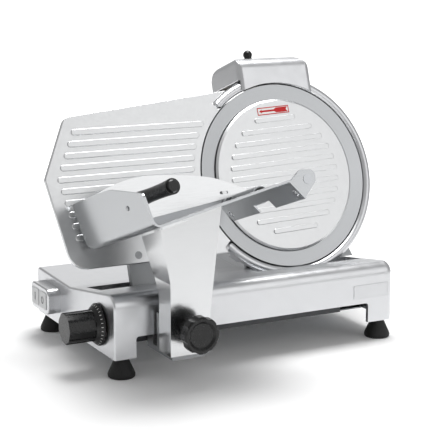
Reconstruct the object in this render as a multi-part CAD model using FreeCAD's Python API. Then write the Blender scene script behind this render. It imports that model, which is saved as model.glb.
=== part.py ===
import FreeCAD, Part
import math
import os

# Deli meat slicer with a 250 mm blade that leans back from the vertical.
# Millimetres. X runs right along the carriage travel, Y away from the user, Z up.
# Machine frame while modelling: X = 0 at the left end of the base, Y = 0 at the front
# face of the base, Z = 0 at the table. The last step moves everything so that the
# origin lies at the bottom centre of the whole machine.
# Blade frame: x to the right, u up the blade, n out of the blade towards the user,
# with its origin at the centre of the cutting edge.
# Tray frame: f along the tray floor to the right, w square to the floor, n as above.

Vector = FreeCAD.Vector
X_AXIS = Vector(1, 0, 0)
Y_AXIS = Vector(0, 1, 0)
Z_AXIS = Vector(0, 0, 1)

# Overall
base_length = 404.0
base_depth = 261.0
blade_radius = 125.0
blade_lean = 18.5
blade_x = 310.0
blade_y = 128.0
blade_z = 209.0

# Clearances
gap = 0.3
running = 0.05
slide_fit = 0.06

# Base casting
foot_height = 25.5
wall = 5.0
ridge_y = 21.0
ridge_z = 103.0
valley_y = 145.0
valley_z = 84.0
rear_z = 87.0
front_round = 15.6
beam_underside = 52.0
leg_left = 28.5
leg_right = 364.0
front_channel = 64.0
well_left = 230.0
well_right = 392.0
well_front = 60.0
well_back = 100.0
slot_left = 14.0
slot_right = 124.0
slot_front = 72.0
slot_back = 120.0
motor_opening_left = 262.0
motor_opening_right = 366.0
motor_opening_front = 142.0
motor_opening_back = 234.0

# Feet and bottom plate
foot_radius = 17.0
foot_top_radius = 8.0
foot_inset = 15.0
screw_radius = 2.5
plate_thickness = 1.5

# Blade, cover disc and hub
blade_thickness = 2.2
bevel_width = 20.0
bevel_inner = blade_radius - bevel_width
cover_gap = 0.7
cover_radius = bevel_inner - cover_gap
cover_turn = 2.4
cover_rib_pitch = 15.2
cover_rib_margin = 22.0
rib_half_width = 3.6
rib_rise = 1.4
shaft_radius = 10.0
bearing_radius = 19.0
bearing_width = 9.0
blade_pulley_radius = 38.0
motor_pulley_radius = 13.0
belt_width = 10.0
belt_thickness = 3.0
tie_rod_radius = 4.0
knob_end_radius = 17.0

# Ring guard and blade support
guard_clearance = 1.2
guard_width = 12.3
guard_inner = blade_radius + guard_clearance
guard_outer = guard_inner + guard_width
guard_front = 2.4
guard_crown = 5.0
guard_end_corner = 4.0
guard_back = -9.0
guard_start = -139.0
guard_end = 131.0
support_inset = 3.2
support_radius = guard_inner - support_inset
support_front = -19.0
support_thickness = 6.0

# Motor
motor_u = -84.0
motor_x = 4.0
motor_radius = 41.0
motor_front = -66.0
motor_length = 62.0

# Gauge plate
gauge_thickness = 5.5
gauge_rib_rise = 1.2
gauge_rib_pitch = 14.9
gauge_rib_first = 77.5
gauge_rib_margin = 1.7
gauge_travel = 12.0
gauge_column_left = -243.0
gauge_column_right = -191.0
gauge_sleeve_u = -158.0
gauge_rod_radius = 7.0

# Thickness dial
dial_y = 46.0
dial_z = 60.0
dial_skirt_radius = 26.3
dial_grip_radius = 19.6
dial_flats = 9
dial_flat_depth = 1.6
dial_reach = 46.0
dial_turn = 330.0
cam_radius = 24.4
cam_left = 14.0
cam_thickness = 8.0
groove_start = 7.5
pin_radius = 2.5

# Carriage
rod_y = 20.0
rod_z = 82.0
rod_radius = 8.0
bar_y = 26.0
bar_depth = 12.0
bar_low = 37.0
bar_high = 51.4
carriage_left = 50.0
carriage_width = 51.0
pedestal_front = -50.0
pedestal_thickness = 3.0
lock_z = 68.0
lock_knob_radius = 22.6
lock_knob_lobes = 8
lock_knob_front = -84.0
lock_knob_width = 16.0

# Tray
tray_x = -301.3
tray_u = -76.4
tray_rise = 12.24
tray_sheet = 2.5
tray_floor = 184.6
tray_back = 7.0
tray_front = 213.0
tray_bend = 10.0
lip_turn = 61.7
lip_length = 28.2
lip_back = 27.0
push_rod_x = -95.4
push_rod_u = -35.6
push_rod_radius = 6.0

# Food pusher
pusher_back = 40.0
pusher_sheet = 2.5
bush_radius = 8.5
sleeve_radius = 11.5
sleeve_back = 30.0
sleeve_front = 98.0
grip_x = -236.2
grip_u = -20.1
grip_radius = 10.0
grip_front = 138.0

# Sharpener
cap_left = -50.0
cap_right = 63.3
cap_top = 165.0
cap_side_low = 133.5
cap_front = 5.5
cap_depth = 84.0
cap_wall = 2.5
stone_radius = 12.5
post_x = 8.0
post_n = -37.0
post_radius = 6.0
post_foot = 96.0

# Switch
switch_y0 = 175.0
switch_y1 = 238.0
switch_z0 = 40.5
switch_z1 = 75.0
switch_reach = 17.8

nodes = {}


def box(x0, x1, y0, y1, z0, z1):
    """Block between two corners."""
    return Part.makeBox(x1 - x0, y1 - y0, z1 - z0, Vector(x0, y0, z0))


def rod(radius, start, direction, length):
    """Round bar from a start point."""
    return Part.makeCylinder(radius, length, Vector(*start), direction)


def tube(outer, inner, start, direction, length):
    """Round tube from a start point."""
    return rod(outer, start, direction, length).cut(rod(inner, start, direction, length))


def outline(points, radii):
    """Closed wire through the points, each corner rounded by its radius."""
    count = len(points)
    if not isinstance(radii, (list, tuple)):
        radii = [radii] * count
    edges = []
    previous = None
    first = None
    for i in range(count):
        here = Vector(*points[i], 0)
        before = Vector(*points[i - 1], 0)
        after = Vector(*points[(i + 1) % count], 0)
        to_before = (before - here).normalize()
        to_after = (after - here).normalize()
        half = to_before.getAngle(to_after) / 2
        radius = radii[i]
        if radius > 0:
            reach = radius / math.tan(half)
            start = here + to_before * reach
            end = here + to_after * reach
            middle_way = (to_before + to_after).normalize()
            centre = here + middle_way * (radius / math.sin(half))
            middle = centre - middle_way * radius
        else:
            start = end = here
        if previous is not None and previous.distanceToPoint(start) > 1e-6:
            edges.append(Part.makeLine(previous, start))
        if first is None:
            first = start
        if radius > 0:
            edges.append(Part.Arc(start, middle, end).toShape())
        previous = end
    if previous.distanceToPoint(first) > 1e-6:
        edges.append(Part.makeLine(previous, first))
    return Part.Wire(edges)


def slab(points, radii, low, high):
    """Rounded outline in the first two axes, filled from low to high on the third."""
    face = Part.Face(outline(points, radii))
    solid = face.extrude(Vector(0, 0, high - low))
    solid.translate(Vector(0, 0, low))
    return solid


def rectangle(x0, x1, y0, y1):
    """Corner points of a rectangle."""
    return [(x0, y0), (x1, y0), (x1, y1), (x0, y1)]


def lathe(points):
    """Solid turned about the third axis from (radius, height) points."""
    wire = Part.makePolygon([Vector(r, 0, h) for r, h in points + points[:1]])
    return Part.Face(wire).revolve(Vector(0, 0, 0), Z_AXIS, 360)


def turned(shape, matrix):
    """Copy of a shape moved by a matrix of unit axes."""
    moved = shape.copy()
    moved.Placement = FreeCAD.Placement(matrix).multiply(moved.Placement)
    return moved


def along_x(shape):
    """Stand a slab drawn in (Y, Z) along the X axis."""
    return turned(shape, FreeCAD.Matrix(0, 0, 1, 0, 1, 0, 0, 0, 0, 1, 0, 0, 0, 0, 0, 1))


def along_y(shape):
    """Stand a slab drawn in (Z, X) along the Y axis."""
    return turned(shape, FreeCAD.Matrix(0, 1, 0, 0, 0, 0, 1, 0, 1, 0, 0, 0, 0, 0, 0, 1))


def on_blade(shape):
    """Move a shape from the blade frame to the machine frame."""
    moved = shape.copy()
    turn = FreeCAD.Rotation(X_AXIS, 90 - blade_lean)
    moved.Placement = FreeCAD.Placement(Vector(blade_x, blade_y, blade_z), turn).multiply(moved.Placement)
    return moved


def on_tray(shape):
    """Move a shape from the tray frame to the machine frame."""
    moved = shape.copy()
    turn = FreeCAD.Rotation(Z_AXIS, tray_rise)
    moved.Placement = FreeCAD.Placement(Vector(tray_x, tray_u, 0), turn).multiply(moved.Placement)
    return on_blade(moved)


def blade_point(y, z):
    """The (u, n) of a machine point."""
    lean = math.radians(blade_lean)
    dy = y - blade_y
    dz = z - blade_z
    u = dy * math.sin(lean) + dz * math.cos(lean)
    n = -dy * math.cos(lean) + dz * math.sin(lean)
    return u, n


def group(shapes):
    """Separate solids kept together as one node."""
    return Part.makeCompound(shapes)


def fuse(shapes):
    """One solid from touching shapes."""
    result = shapes[0]
    for other in shapes[1:]:
        result = result.fuse(other)
    return result.removeSplitter()


def add(name, shape):
    """Keep a finished node."""
    nodes[name] = shape


# Base casting and what closes it


def roof_line(drop):
    """Front corner, valley and rear corner of the base's top, lowered by drop."""
    slope = (ridge_z - valley_z) / (valley_y - ridge_y)
    front = ridge_z + slope * (ridge_y - drop)
    return [(drop, front - drop), (valley_y, valley_z - drop), (base_depth - drop, rear_z - drop)]


def base_solid(inset, low):
    """Base body filled from its top down to a level, with its walls moved in by inset."""
    front, valley, back = roof_line(inset)
    points = [(inset, low), front, valley, back, (base_depth - inset, low)]
    section = slab(points, [0, front_round - inset, 0, 6, 0], 0, base_length - 2 * inset)
    solid = along_x(section)
    solid.translate(Vector(inset, 0, 0))
    return solid


def under_base_top():
    """Everything below the base's top, to trim what stands on it."""
    front, valley, back = roof_line(0)
    beyond = (back[0] + 200, back[1] + 200 * (rear_z - valley_z) / (base_depth - valley_y))
    points = [(-300, -300), (-300, front[1]), front, valley, beyond, (back[0] + 200, -300)]
    block = along_x(slab(points, [0, 0, 0, 6, 0, 0], 0, base_length + 400))
    block.translate(Vector(-200, 0, 0))
    return block


foot_places = [
    (foot_inset, foot_inset),
    (base_length - foot_inset, foot_inset),
    (foot_inset, base_depth - foot_inset),
    (base_length - foot_inset, base_depth - foot_inset),
]
plate_screw_places = [
    (36, base_depth - 14),
    (base_length - 40, base_depth - 14),
    (base_length - 20, 116),
    (136, 78),
]


def make_base():
    """Hollow casting on four legs with a channel for the carriage behind its front beam."""
    outer = base_solid(0, foot_height)
    round_right = [
        edge for edge in outer.Edges
        if edge.BoundBox.XMin > base_length - 0.01 and edge.BoundBox.ZMax > foot_height + 1
    ]
    shell = outer.makeFillet(11, round_right)
    round_left = [
        edge for edge in shell.Edges
        if edge.BoundBox.XMax < 0.01 and edge.BoundBox.ZMax > foot_height + 1
    ]
    shell = shell.makeFillet(2.5, round_left)
    envelope = shell.copy()
    shell = shell.cut(base_solid(wall, foot_height - 10))
    notch = rectangle(0, beam_underside, leg_left, leg_right)
    shell = shell.cut(along_y(slab(notch, [0, 4, 4, 0], -1, wall + 1)))
    bosses = []
    for x, y in foot_places:
        bosses.append(rod(11, (x, y, foot_height), Z_AXIS, 14.5))
    for x, y in plate_screw_places:
        bosses.append(rod(6, (x, y, foot_height + 2), Z_AXIS, 90))
    for x in (wall - 1, base_length - wall - 8):
        bosses.append(rod(rod_radius + 5, (x, rod_y, rod_z), X_AXIS, 9))
    pan = box(well_left - 4, well_right + 4, well_front - 4, well_back + 4, 67, 120)
    bosses.append(pan)
    kept = [boss.common(envelope) for boss in bosses]
    shell = fuse([shell] + kept)
    shell = shell.cut(box(well_left, well_right, well_front, well_back, 71, 130))
    shell = shell.cut(box(slot_left, slot_right, slot_front, slot_back, 72, 130))
    opening = rectangle(motor_opening_left, motor_opening_right, motor_opening_front, motor_opening_back)
    shell = shell.cut(slab(opening, 8, 70, 100))
    for x, y in foot_places:
        shell = shell.cut(rod(screw_radius + running, (x, y, foot_height - 1), Z_AXIS, 14))
    for x, y in plate_screw_places:
        shell = shell.cut(rod(1.5 + running, (x, y, foot_height), Z_AXIS, 14))
    shell = shell.cut(rod(rod_radius + 0.02, (wall - 2, rod_y, rod_z), X_AXIS, base_length - 2 * wall + 4))
    shell = shell.cut(rod(9 + 0.02, (-1, dial_y, dial_z), X_AXIS, wall + 2))
    shell = shell.cut(rod(7 + 0.02, (gland_x, base_depth - wall - 1, gland_z), Y_AXIS, wall + 2))
    switch_window = rectangle(switch_y0 + 12, switch_y1 - 12, switch_z0 + 8, switch_z1 - 8)
    shell = shell.cut(along_x(slab(switch_window, 3, -1, wall + 1)))
    return shell


def make_bottom_plate():
    """Sheet that closes the base behind the carriage channel."""
    points = rectangle(wall + gap, base_length - wall - gap, front_channel, base_depth - wall - gap)
    plate = slab(points, 3, foot_height + 0.5, foot_height + 0.5 + plate_thickness)
    for x, y in foot_places[2:]:
        corner = rectangle(x - 20, x + 20, y - 11 - gap, y + 30)
        plate = plate.cut(slab(corner, 2, foot_height - 1, foot_height + 9))
    for x, y in plate_screw_places:
        plate = plate.cut(rod(1.7, (x, y, foot_height - 1), Z_AXIS, 10))
    for i in range(9):
        x = 168 + 14 * i
        vent = rectangle(x, x + 5, 170, 210)
        plate = plate.cut(slab(vent, 2.4, foot_height - 1, foot_height + 4))
    return plate


def make_plate_screws():
    """Pan head screws under the bottom plate."""
    screws = []
    for x, y in plate_screw_places:
        head = rod(3, (x, y, foot_height - 1.2), Z_AXIS, 1.7)
        screws.append(fuse([head, rod(1.5, (x, y, foot_height - 1.2), Z_AXIS, 12)]))
    return group(screws)


def make_foot(x, y):
    """Tapered rubber foot."""
    profile = [
        (2.6, foot_height - 20), (5.4, foot_height - 20), (5.4, 0), (foot_radius - 1.5, 0),
        (foot_radius - 0.3, 1.2), (foot_radius, 4), (foot_radius - 1, 7),
        (foot_top_radius + 1, foot_height - 3), (foot_top_radius, foot_height), (2.6, foot_height),
    ]
    foot = lathe(profile)
    foot.translate(Vector(x, y, 0))
    return foot


def make_foot_screws():
    """Screws up through the feet into the base."""
    screws = []
    for x, y in foot_places:
        head = rod(5, (x, y, foot_height - 23), Z_AXIS, 3)
        screws.append(fuse([head, rod(screw_radius, (x, y, foot_height - 23), Z_AXIS, 34)]))
    return group(screws)


gland_x = 70.0
gland_z = 50.0


def make_gland():
    """Inlet gland in the rear wall, empty because no cord is part of the object."""
    y = base_depth
    hexagon = [(9 * math.cos(math.radians(60 * i)), 9 * math.sin(math.radians(60 * i))) for i in range(6)]
    collar = slab(hexagon, 0.8, 0, 5)
    nose = lathe([(3.5, 5), (8, 5), (6.2, 14), (3.5, 14)])
    thread = tube(7, 3.5, (0, 0, -10), Z_AXIS, 10)
    nut = slab(hexagon, 0.8, -9.5, -wall).cut(rod(7, (0, 0, -10), Z_AXIS, 10))
    body = fuse([collar.cut(rod(3.5, (0, 0, -1), Z_AXIS, 8)), nose, thread, nut])
    body = turned(body, FreeCAD.Matrix(1, 0, 0, 0, 0, 0, 1, 0, 0, -1, 0, 0, 0, 0, 0, 1))
    body.translate(Vector(gland_x, y, gland_z))
    return body


def make_blank_plate():
    """Blank plate with a thin raised border on the right of the front face."""
    low, high, left, right = 59, 77.3, 341, 395
    plate = along_y(slab(rectangle(low, high, left, right), 1.5, -0.6, 0))
    rim = along_y(slab(rectangle(low, high, left, right), 1.5, -0.9, -0.6))
    inside = rectangle(low + 1.2, high - 1.2, left + 1.2, right - 1.2)
    return fuse([plate, rim.cut(along_y(slab(inside, 0.8, -1, -0.5)))])


add("base_casting", make_base())
add("bottom_plate", make_bottom_plate())
add("bottom_plate_screws", make_plate_screws())
add("feet", group([make_foot(x, y) for x, y in foot_places]))
add("foot_screws", make_foot_screws())
add("cable_gland", make_gland())
add("blank_plate", make_blank_plate())

# Blade, its cover disc and its guard


def make_blade():
    """Dished steel knife with a wide bevel."""
    back = -8.6 - blade_thickness
    profile = [
        (18.2, -8.6), (bevel_inner - 9, -8.6), (bevel_inner, -2.2), (blade_radius, 0), (blade_radius, -0.4),
        (blade_radius - 0.5, -0.9), (bevel_inner, -2.2 - blade_thickness),
        (bevel_inner - 10, back), (18.2, back),
    ]
    blade = lathe(profile)
    for x, u in blade_screw_places:
        blade = blade.cut(rod(screw_radius + running, (x, u, -20), Z_AXIS, 30))
    return on_blade(blade)


blade_screw_places = [
    (24 * math.cos(math.radians(90 + 120 * i)), 24 * math.sin(math.radians(90 + 120 * i))) for i in range(3)
]


def make_blade_shaft():
    """Hollow shaft with the flange that carries the blade."""
    back = -8.6 - blade_thickness
    profile = [
        (5, -61), (shaft_radius, -61), (shaft_radius, back - 5), (31, back - 5), (31, back), (18, back),
        (18, -8.6), (11, -8.6), (11, back - 2), (5, back - 2),
    ]
    shaft = lathe(profile)
    for x, u in blade_screw_places:
        shaft = shaft.cut(rod(screw_radius + running, (x, u, back - 4), Z_AXIS, 10))
    return on_blade(shaft)


def make_blade_screws():
    """Three screws that hold the blade on its flange."""
    screws = []
    for x, u in blade_screw_places:
        head = rod(4.5, (x, u, -8.6), Z_AXIS, 2.4)
        screws.append(fuse([head, rod(screw_radius, (x, u, -14), Z_AXIS, 6)]))
    return on_blade(group(screws))


def capsule(x0, x1, middle, half_width, low, rise):
    """Long rounded bead along x that stands on a face."""
    points = rectangle(x0, x1, middle - half_width, middle + half_width)
    bead = slab(points, half_width - 0.01, low - 1, low + rise)
    top = [edge for edge in bead.Edges if edge.BoundBox.ZMin > low + rise - 0.01]
    return bead.makeFillet(rise * 0.85, top)


def make_cover_disc():
    """Fixed disc that hides the blade's middle, with raised beads."""
    disc = lathe([
        (0, 0.9), (cover_radius - 4.8, 0.9), (cover_radius - 1.5, -0.6), (cover_radius, -0.6),
        (cover_radius, 0.6), (cover_radius - 2.8, 2.4), (0, 2.4),
    ])
    beads = []
    for i in range(-5, 6):
        u = cover_rib_pitch * i + 1
        half_length = math.sqrt((cover_radius - cover_rib_margin) ** 2 - u ** 2)
        if i == 5:
            half_length = 31
        beads.append(capsule(-half_length - 1, half_length + 1, u, rib_half_width, 2.4, rib_rise))
    disc = fuse([disc] + beads)
    disc.rotate(Vector(0, 0, 0), Z_AXIS, cover_turn)
    boss = rod(9, (0, 0, -11.5), Z_AXIS, 12.5).cut(rod(tie_rod_radius + slide_fit, (0, 0, -12), Z_AXIS, 12))
    return on_blade(fuse([disc, boss]))


def make_arrow_label():
    """Thin label that shows which way the blade turns."""
    label = slab(rectangle(-25, 25, 83.6, 94.4), 1, 2.4, 2.55)
    label.translate(Vector(-0.3, 0, 0))
    label.rotate(Vector(0, 0, 0), Z_AXIS, cover_turn)
    return on_blade(label)


def ring_sector(section, start, end):
    """Section in (radius, n) swept about the blade's axis between two angles."""
    face = Part.Face(section)
    face.rotate(Vector(0, 0, 0), Z_AXIS, start)
    return face.revolve(Vector(0, 0, 0), Z_AXIS, end - start)


guard_screw_angles = [-130, -50, 20, 75]


def make_ring_guard():
    """Rounded bead around the blade's free edge, with lugs to the support behind it."""
    low = Vector(guard_inner, 0, guard_back)
    low_out = Vector(guard_outer, 0, guard_back)
    high = Vector(guard_inner, 0, guard_front - guard_crown)
    high_out = Vector(guard_outer, 0, guard_front - guard_crown)
    crown = Vector((guard_inner + guard_outer) / 2, 0, guard_front)
    bead = Part.Wire([
        Part.makeLine(low, low_out), Part.makeLine(low_out, high_out),
        Part.Arc(high_out, crown, high).toShape(), Part.makeLine(high, low),
    ])
    ring = ring_sector(bead, guard_start, guard_end)
    reach = guard_end_corner + 1
    for angle, way in ((guard_start, -1), (guard_end, 1)):
        for side, inward in ((guard_inner - 1, 1), (guard_outer + 1, -1)):
            triangle = [(side, -way * reach), (side, way), (side + inward * (reach + 1), way)]
            corner = slab(triangle, 0, guard_back - 1, guard_front + 1)
            corner.rotate(Vector(0, 0, 0), Z_AXIS, angle)
            ring = ring.cut(corner)
    pieces = [ring]
    for angle in guard_screw_angles:
        lug = box(support_radius - 14, guard_outer - 1, -8, 8, support_front, guard_back + 1)
        lug = lug.cut(rod(screw_radius + running, (support_radius - 6, 0, support_front - 1), Z_AXIS, 8))
        lug.rotate(Vector(0, 0, 0), Z_AXIS, angle)
        pieces.append(lug)
    return on_blade(fuse(pieces))


def make_guard_screws():
    """Screws from behind that hold the guard's lugs."""
    screws = []
    back = support_front - support_thickness
    for angle in guard_screw_angles:
        head = rod(4.2, (support_radius - 6, 0, back - 2.2), Z_AXIS, 2.2)
        screw = fuse([head, rod(screw_radius, (support_radius - 6, 0, back - 2.2), Z_AXIS, 14)])
        screw.rotate(Vector(0, 0, 0), Z_AXIS, angle)
        screws.append(screw)
    return on_blade(group(screws))


motor_post_angles = [30, 150, 270]


def make_support():
    """Casting behind the blade: disc, foot, bearing barrel, motor posts and sharpener boss."""
    back = support_front - support_thickness
    disc = rod(support_radius, (0, 0, back), Z_AXIS, support_thickness)
    foot = slab(
        [(-62, -80), (78, -80), (94, -104), (104, -130), (106, -160), (-73, -160), (-69, -110)],
        [0, 0, 20, 20, 0, 0, 10], back, support_front,
    )
    barrel = rod(bearing_radius + 5, (0, 0, -45), Z_AXIS, 45 + back)
    boss = box(post_x - 12, post_x + 12, 86, 122, post_n - 12, back)
    pieces = [disc, foot, barrel, boss]
    for angle in motor_post_angles:
        x = motor_x + (motor_radius + 7) * math.cos(math.radians(angle))
        u = motor_u + (motor_radius + 7) * math.sin(math.radians(angle))
        pieces.append(rod(6, (x, u, motor_front + 4), Z_AXIS, back - motor_front - 4))
    support = fuse(pieces)
    support = support.cut(rod(bearing_radius + 0.02, (0, 0, -46), Z_AXIS, 30))
    support = support.cut(rod(33, (0, 0, support_front - 2), Z_AXIS, 10))
    post_hole = rod(post_radius + 0.02, (post_x, post_foot, post_n), Y_AXIS, 30)
    support = support.cut(post_hole)
    for angle in guard_screw_angles:
        hole = rod(screw_radius + running, (support_radius - 6, 0, back - 1), Z_AXIS, support_thickness + 2)
        hole.rotate(Vector(0, 0, 0), Z_AXIS, angle)
        support = support.cut(hole)
    return on_blade(support).cut(under_base_top())


def make_bearing(n):
    """Ball bearing drawn as two rings and a shield."""
    outer = tube(bearing_radius, bearing_radius - 3, (0, 0, n), Z_AXIS, bearing_width)
    inner = tube(shaft_radius + 3, shaft_radius + running, (0, 0, n), Z_AXIS, bearing_width)
    shield = tube(bearing_radius - 3, shaft_radius + 3, (0, 0, n + 1), Z_AXIS, bearing_width - 2)
    return on_blade(fuse([outer, inner, shield]))


add("blade", make_blade())
add("blade_shaft", make_blade_shaft())
add("blade_screws", make_blade_screws())
add("blade_cover_disc", make_cover_disc())
add("arrow_label", make_arrow_label())
add("ring_guard", make_ring_guard())
add("ring_guard_screws", make_guard_screws())
add("blade_support", make_support())
add("bearings", group([make_bearing(-31), make_bearing(-44.5)]))

# Drive: motor, pulleys, belt and the rear cover

pulley_back = -58.0


def grooved_pulley(radius, bore, n, width):
    """Pulley with shallow ribs for a flat ribbed belt."""
    top = n + width
    return lathe([
        (bore, n), (radius + 2, n), (radius + 2, n + 1), (radius, n + 1),
        (radius, top - 1), (radius + 2, top - 1), (radius + 2, top), (bore, top),
    ])


def belt_loop(r1, x2, u2, r2):
    """Outline of a tight band round two circles, the first one at the origin."""
    reach = math.hypot(x2, u2)
    heading = math.atan2(u2, x2)
    spread = math.acos((r1 - r2) / reach)
    corners = []
    for side in (1, -1):
        angle = heading + side * spread
        corners.append(Vector(r1 * math.cos(angle), r1 * math.sin(angle), 0))
        corners.append(Vector(x2 + r2 * math.cos(angle), u2 + r2 * math.sin(angle), 0))
    a1, a2, b1, b2 = corners
    far1 = Vector(-r1 * math.cos(heading), -r1 * math.sin(heading), 0)
    far2 = Vector(x2 + r2 * math.cos(heading), u2 + r2 * math.sin(heading), 0)
    edges = [
        Part.Arc(b1, far1, a1).toShape(), Part.makeLine(a1, a2),
        Part.Arc(a2, far2, b2).toShape(), Part.makeLine(b2, b1),
    ]
    return Part.Face(Part.Wire(edges))


def make_belt():
    """Ribbed belt from the motor pulley to the blade pulley."""
    inner = belt_loop(blade_pulley_radius + gap, motor_x, motor_u, motor_pulley_radius + gap)
    thick = gap + belt_thickness
    outer = belt_loop(blade_pulley_radius + thick, motor_x, motor_u, motor_pulley_radius + thick)
    band = outer.cut(inner).extrude(Vector(0, 0, belt_width - 1))
    band.translate(Vector(0, 0, pulley_back + 1.5))
    return on_blade(band)


def make_blade_pulley():
    """Pulley on the back of the blade shaft."""
    pulley = grooved_pulley(blade_pulley_radius, shaft_radius + 0.02, pulley_back, belt_width + 2)
    hollow = tube(blade_pulley_radius - 6, shaft_radius + 5, (0, 0, pulley_back - 1), Z_AXIS, 8)
    return on_blade(pulley.cut(hollow))


def at_motor(shape):
    """Move a shape from the blade axis to the motor axis."""
    moved = shape.copy()
    moved.translate(Vector(motor_x, motor_u, 0))
    return on_blade(moved)


motor_back = motor_front - motor_length


def make_motor_case():
    """Round motor housing with its rear end and the stator pressed in."""
    case = tube(motor_radius, motor_radius - 2.5, (0, 0, motor_back), Z_AXIS, motor_length - 4)
    end = tube(motor_radius, 6 + slide_fit, (0, 0, motor_back), Z_AXIS, 3)
    stator = tube(motor_radius - 2, 22.6, (0, 0, motor_back + 18), Z_AXIS, 32)
    return at_motor(fuse([case, end, stator]))


def make_motor_shield():
    """Front end of the motor with three ears for its screws."""
    low = motor_front - 4
    shield = rod(motor_radius, (0, 0, low), Z_AXIS, 4)
    for angle in motor_post_angles:
        x = (motor_radius + 7) * math.cos(math.radians(angle))
        u = (motor_radius + 7) * math.sin(math.radians(angle))
        ear = slab(rectangle(0, motor_radius + 13, -7, 7), 0, low, low + 4)
        ear.rotate(Vector(0, 0, 0), Z_AXIS, angle)
        shield = shield.fuse(ear).cut(rod(2 + running, (x, u, low - 1), Z_AXIS, 6))
    return at_motor(shield.removeSplitter().cut(rod(6 + slide_fit, (0, 0, low - 1), Z_AXIS, 6)))


def make_motor_screws():
    """Screws through the shield's ears into the support's posts."""
    screws = []
    for angle in motor_post_angles:
        x = (motor_radius + 7) * math.cos(math.radians(angle))
        u = (motor_radius + 7) * math.sin(math.radians(angle))
        head = rod(3.6, (x, u, motor_front - 6.5), Z_AXIS, 2.5)
        screws.append(fuse([head, rod(2, (x, u, motor_front - 6.5), Z_AXIS, 6.5)]))
    return at_motor(group(screws))


def make_motor_rotor():
    """Rotor stack on its shaft with the cooling fan behind."""
    stack = rod(22, (0, 0, motor_back + 18), Z_AXIS, 32)
    shaft = rod(6, (0, 0, motor_back - 1), Z_AXIS, pulley_back + 13 - motor_back)
    hub = rod(9, (0, 0, motor_back + 6), Z_AXIS, 9)
    disc = rod(31, (0, 0, motor_back + 14), Z_AXIS, 1.5)
    vanes = []
    for i in range(8):
        vane = box(8, 31, -1, 1, motor_back + 6, motor_back + 15)
        vane.rotate(Vector(0, 0, 0), Z_AXIS, 45 * i)
        vanes.append(vane)
    return at_motor(fuse([stack, shaft, hub, disc] + vanes))


def make_motor_pulley():
    """Small pulley on the motor shaft."""
    return at_motor(grooved_pulley(motor_pulley_radius, 6.02, pulley_back, belt_width + 2))


rear_cover_back = motor_back - 14


def back_rim(solid, back):
    """Edges round the back face of the rear cover, without the one below the base."""
    return [edge for edge in solid.Edges if edge.BoundBox.ZMax < back + 0.01 and edge.BoundBox.YMax > -180]


def make_rear_cover():
    """Cover over belt and motor, standing on the base behind the support."""
    front = support_front - support_thickness
    corners = [(-54, 56), (56, 56), (80, -190), (-72, -190)]
    solid = slab(corners, [46, 46, 0, 0], rear_cover_back, front)
    solid = solid.makeFillet(14, back_rim(solid, rear_cover_back))
    inner_corners = [(-50.5, 52.5), (52.5, 52.5), (76, -195), (-68, -195)]
    hollow = slab(inner_corners, [42.5, 42.5, 0, 0], rear_cover_back + 3, front + 1)
    hollow = hollow.makeFillet(11, back_rim(hollow, rear_cover_back + 3))
    cover = solid.cut(hollow)
    cover = cover.cut(rod(tie_rod_radius + 1, (0, 0, rear_cover_back - 1), Z_AXIS, 8))
    for i in range(7):
        slot = rectangle(-30, 38, -74 + 9 * i - 1.8, -74 + 9 * i + 1.8)
        cover = cover.cut(slab(slot, 1.7, rear_cover_back - 1, rear_cover_back + 5))
    return on_blade(cover).cut(under_base_top())


def make_tie_rod():
    """Long screw through the hollow shaft that pulls the cover disc home, with its knob behind."""
    stem = rod(tie_rod_radius, (0, 0, rear_cover_back - 6), Z_AXIS, -rear_cover_back + 4)
    points = []
    for i in range(10):
        angle = math.radians(36 * i)
        points.append((knob_end_radius * math.cos(angle), knob_end_radius * math.sin(angle)))
    knob = slab(points, 4, rear_cover_back - 20, rear_cover_back - 0.5)
    return on_blade(fuse([stem, knob]))


add("drive_belt", make_belt())
add("blade_pulley", make_blade_pulley())
add("motor_case", make_motor_case())
add("motor_front_shield", make_motor_shield())
add("motor_screws", make_motor_screws())
add("motor_rotor", make_motor_rotor())
add("motor_pulley", make_motor_pulley())
add("rear_cover", make_rear_cover())
add("cover_tie_rod", make_tie_rod())

# Gauge plate and its slide

gauge_face = -gauge_rib_rise
gauge_back = gauge_face - gauge_thickness
gauge_x = (gauge_column_left + gauge_column_right) / 2
gauge_screw_places = [(gauge_column_left + 12, -86.5), (gauge_column_right - 12, -86.5)]
dial_u, dial_n = blade_point(dial_y, dial_z)


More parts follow.
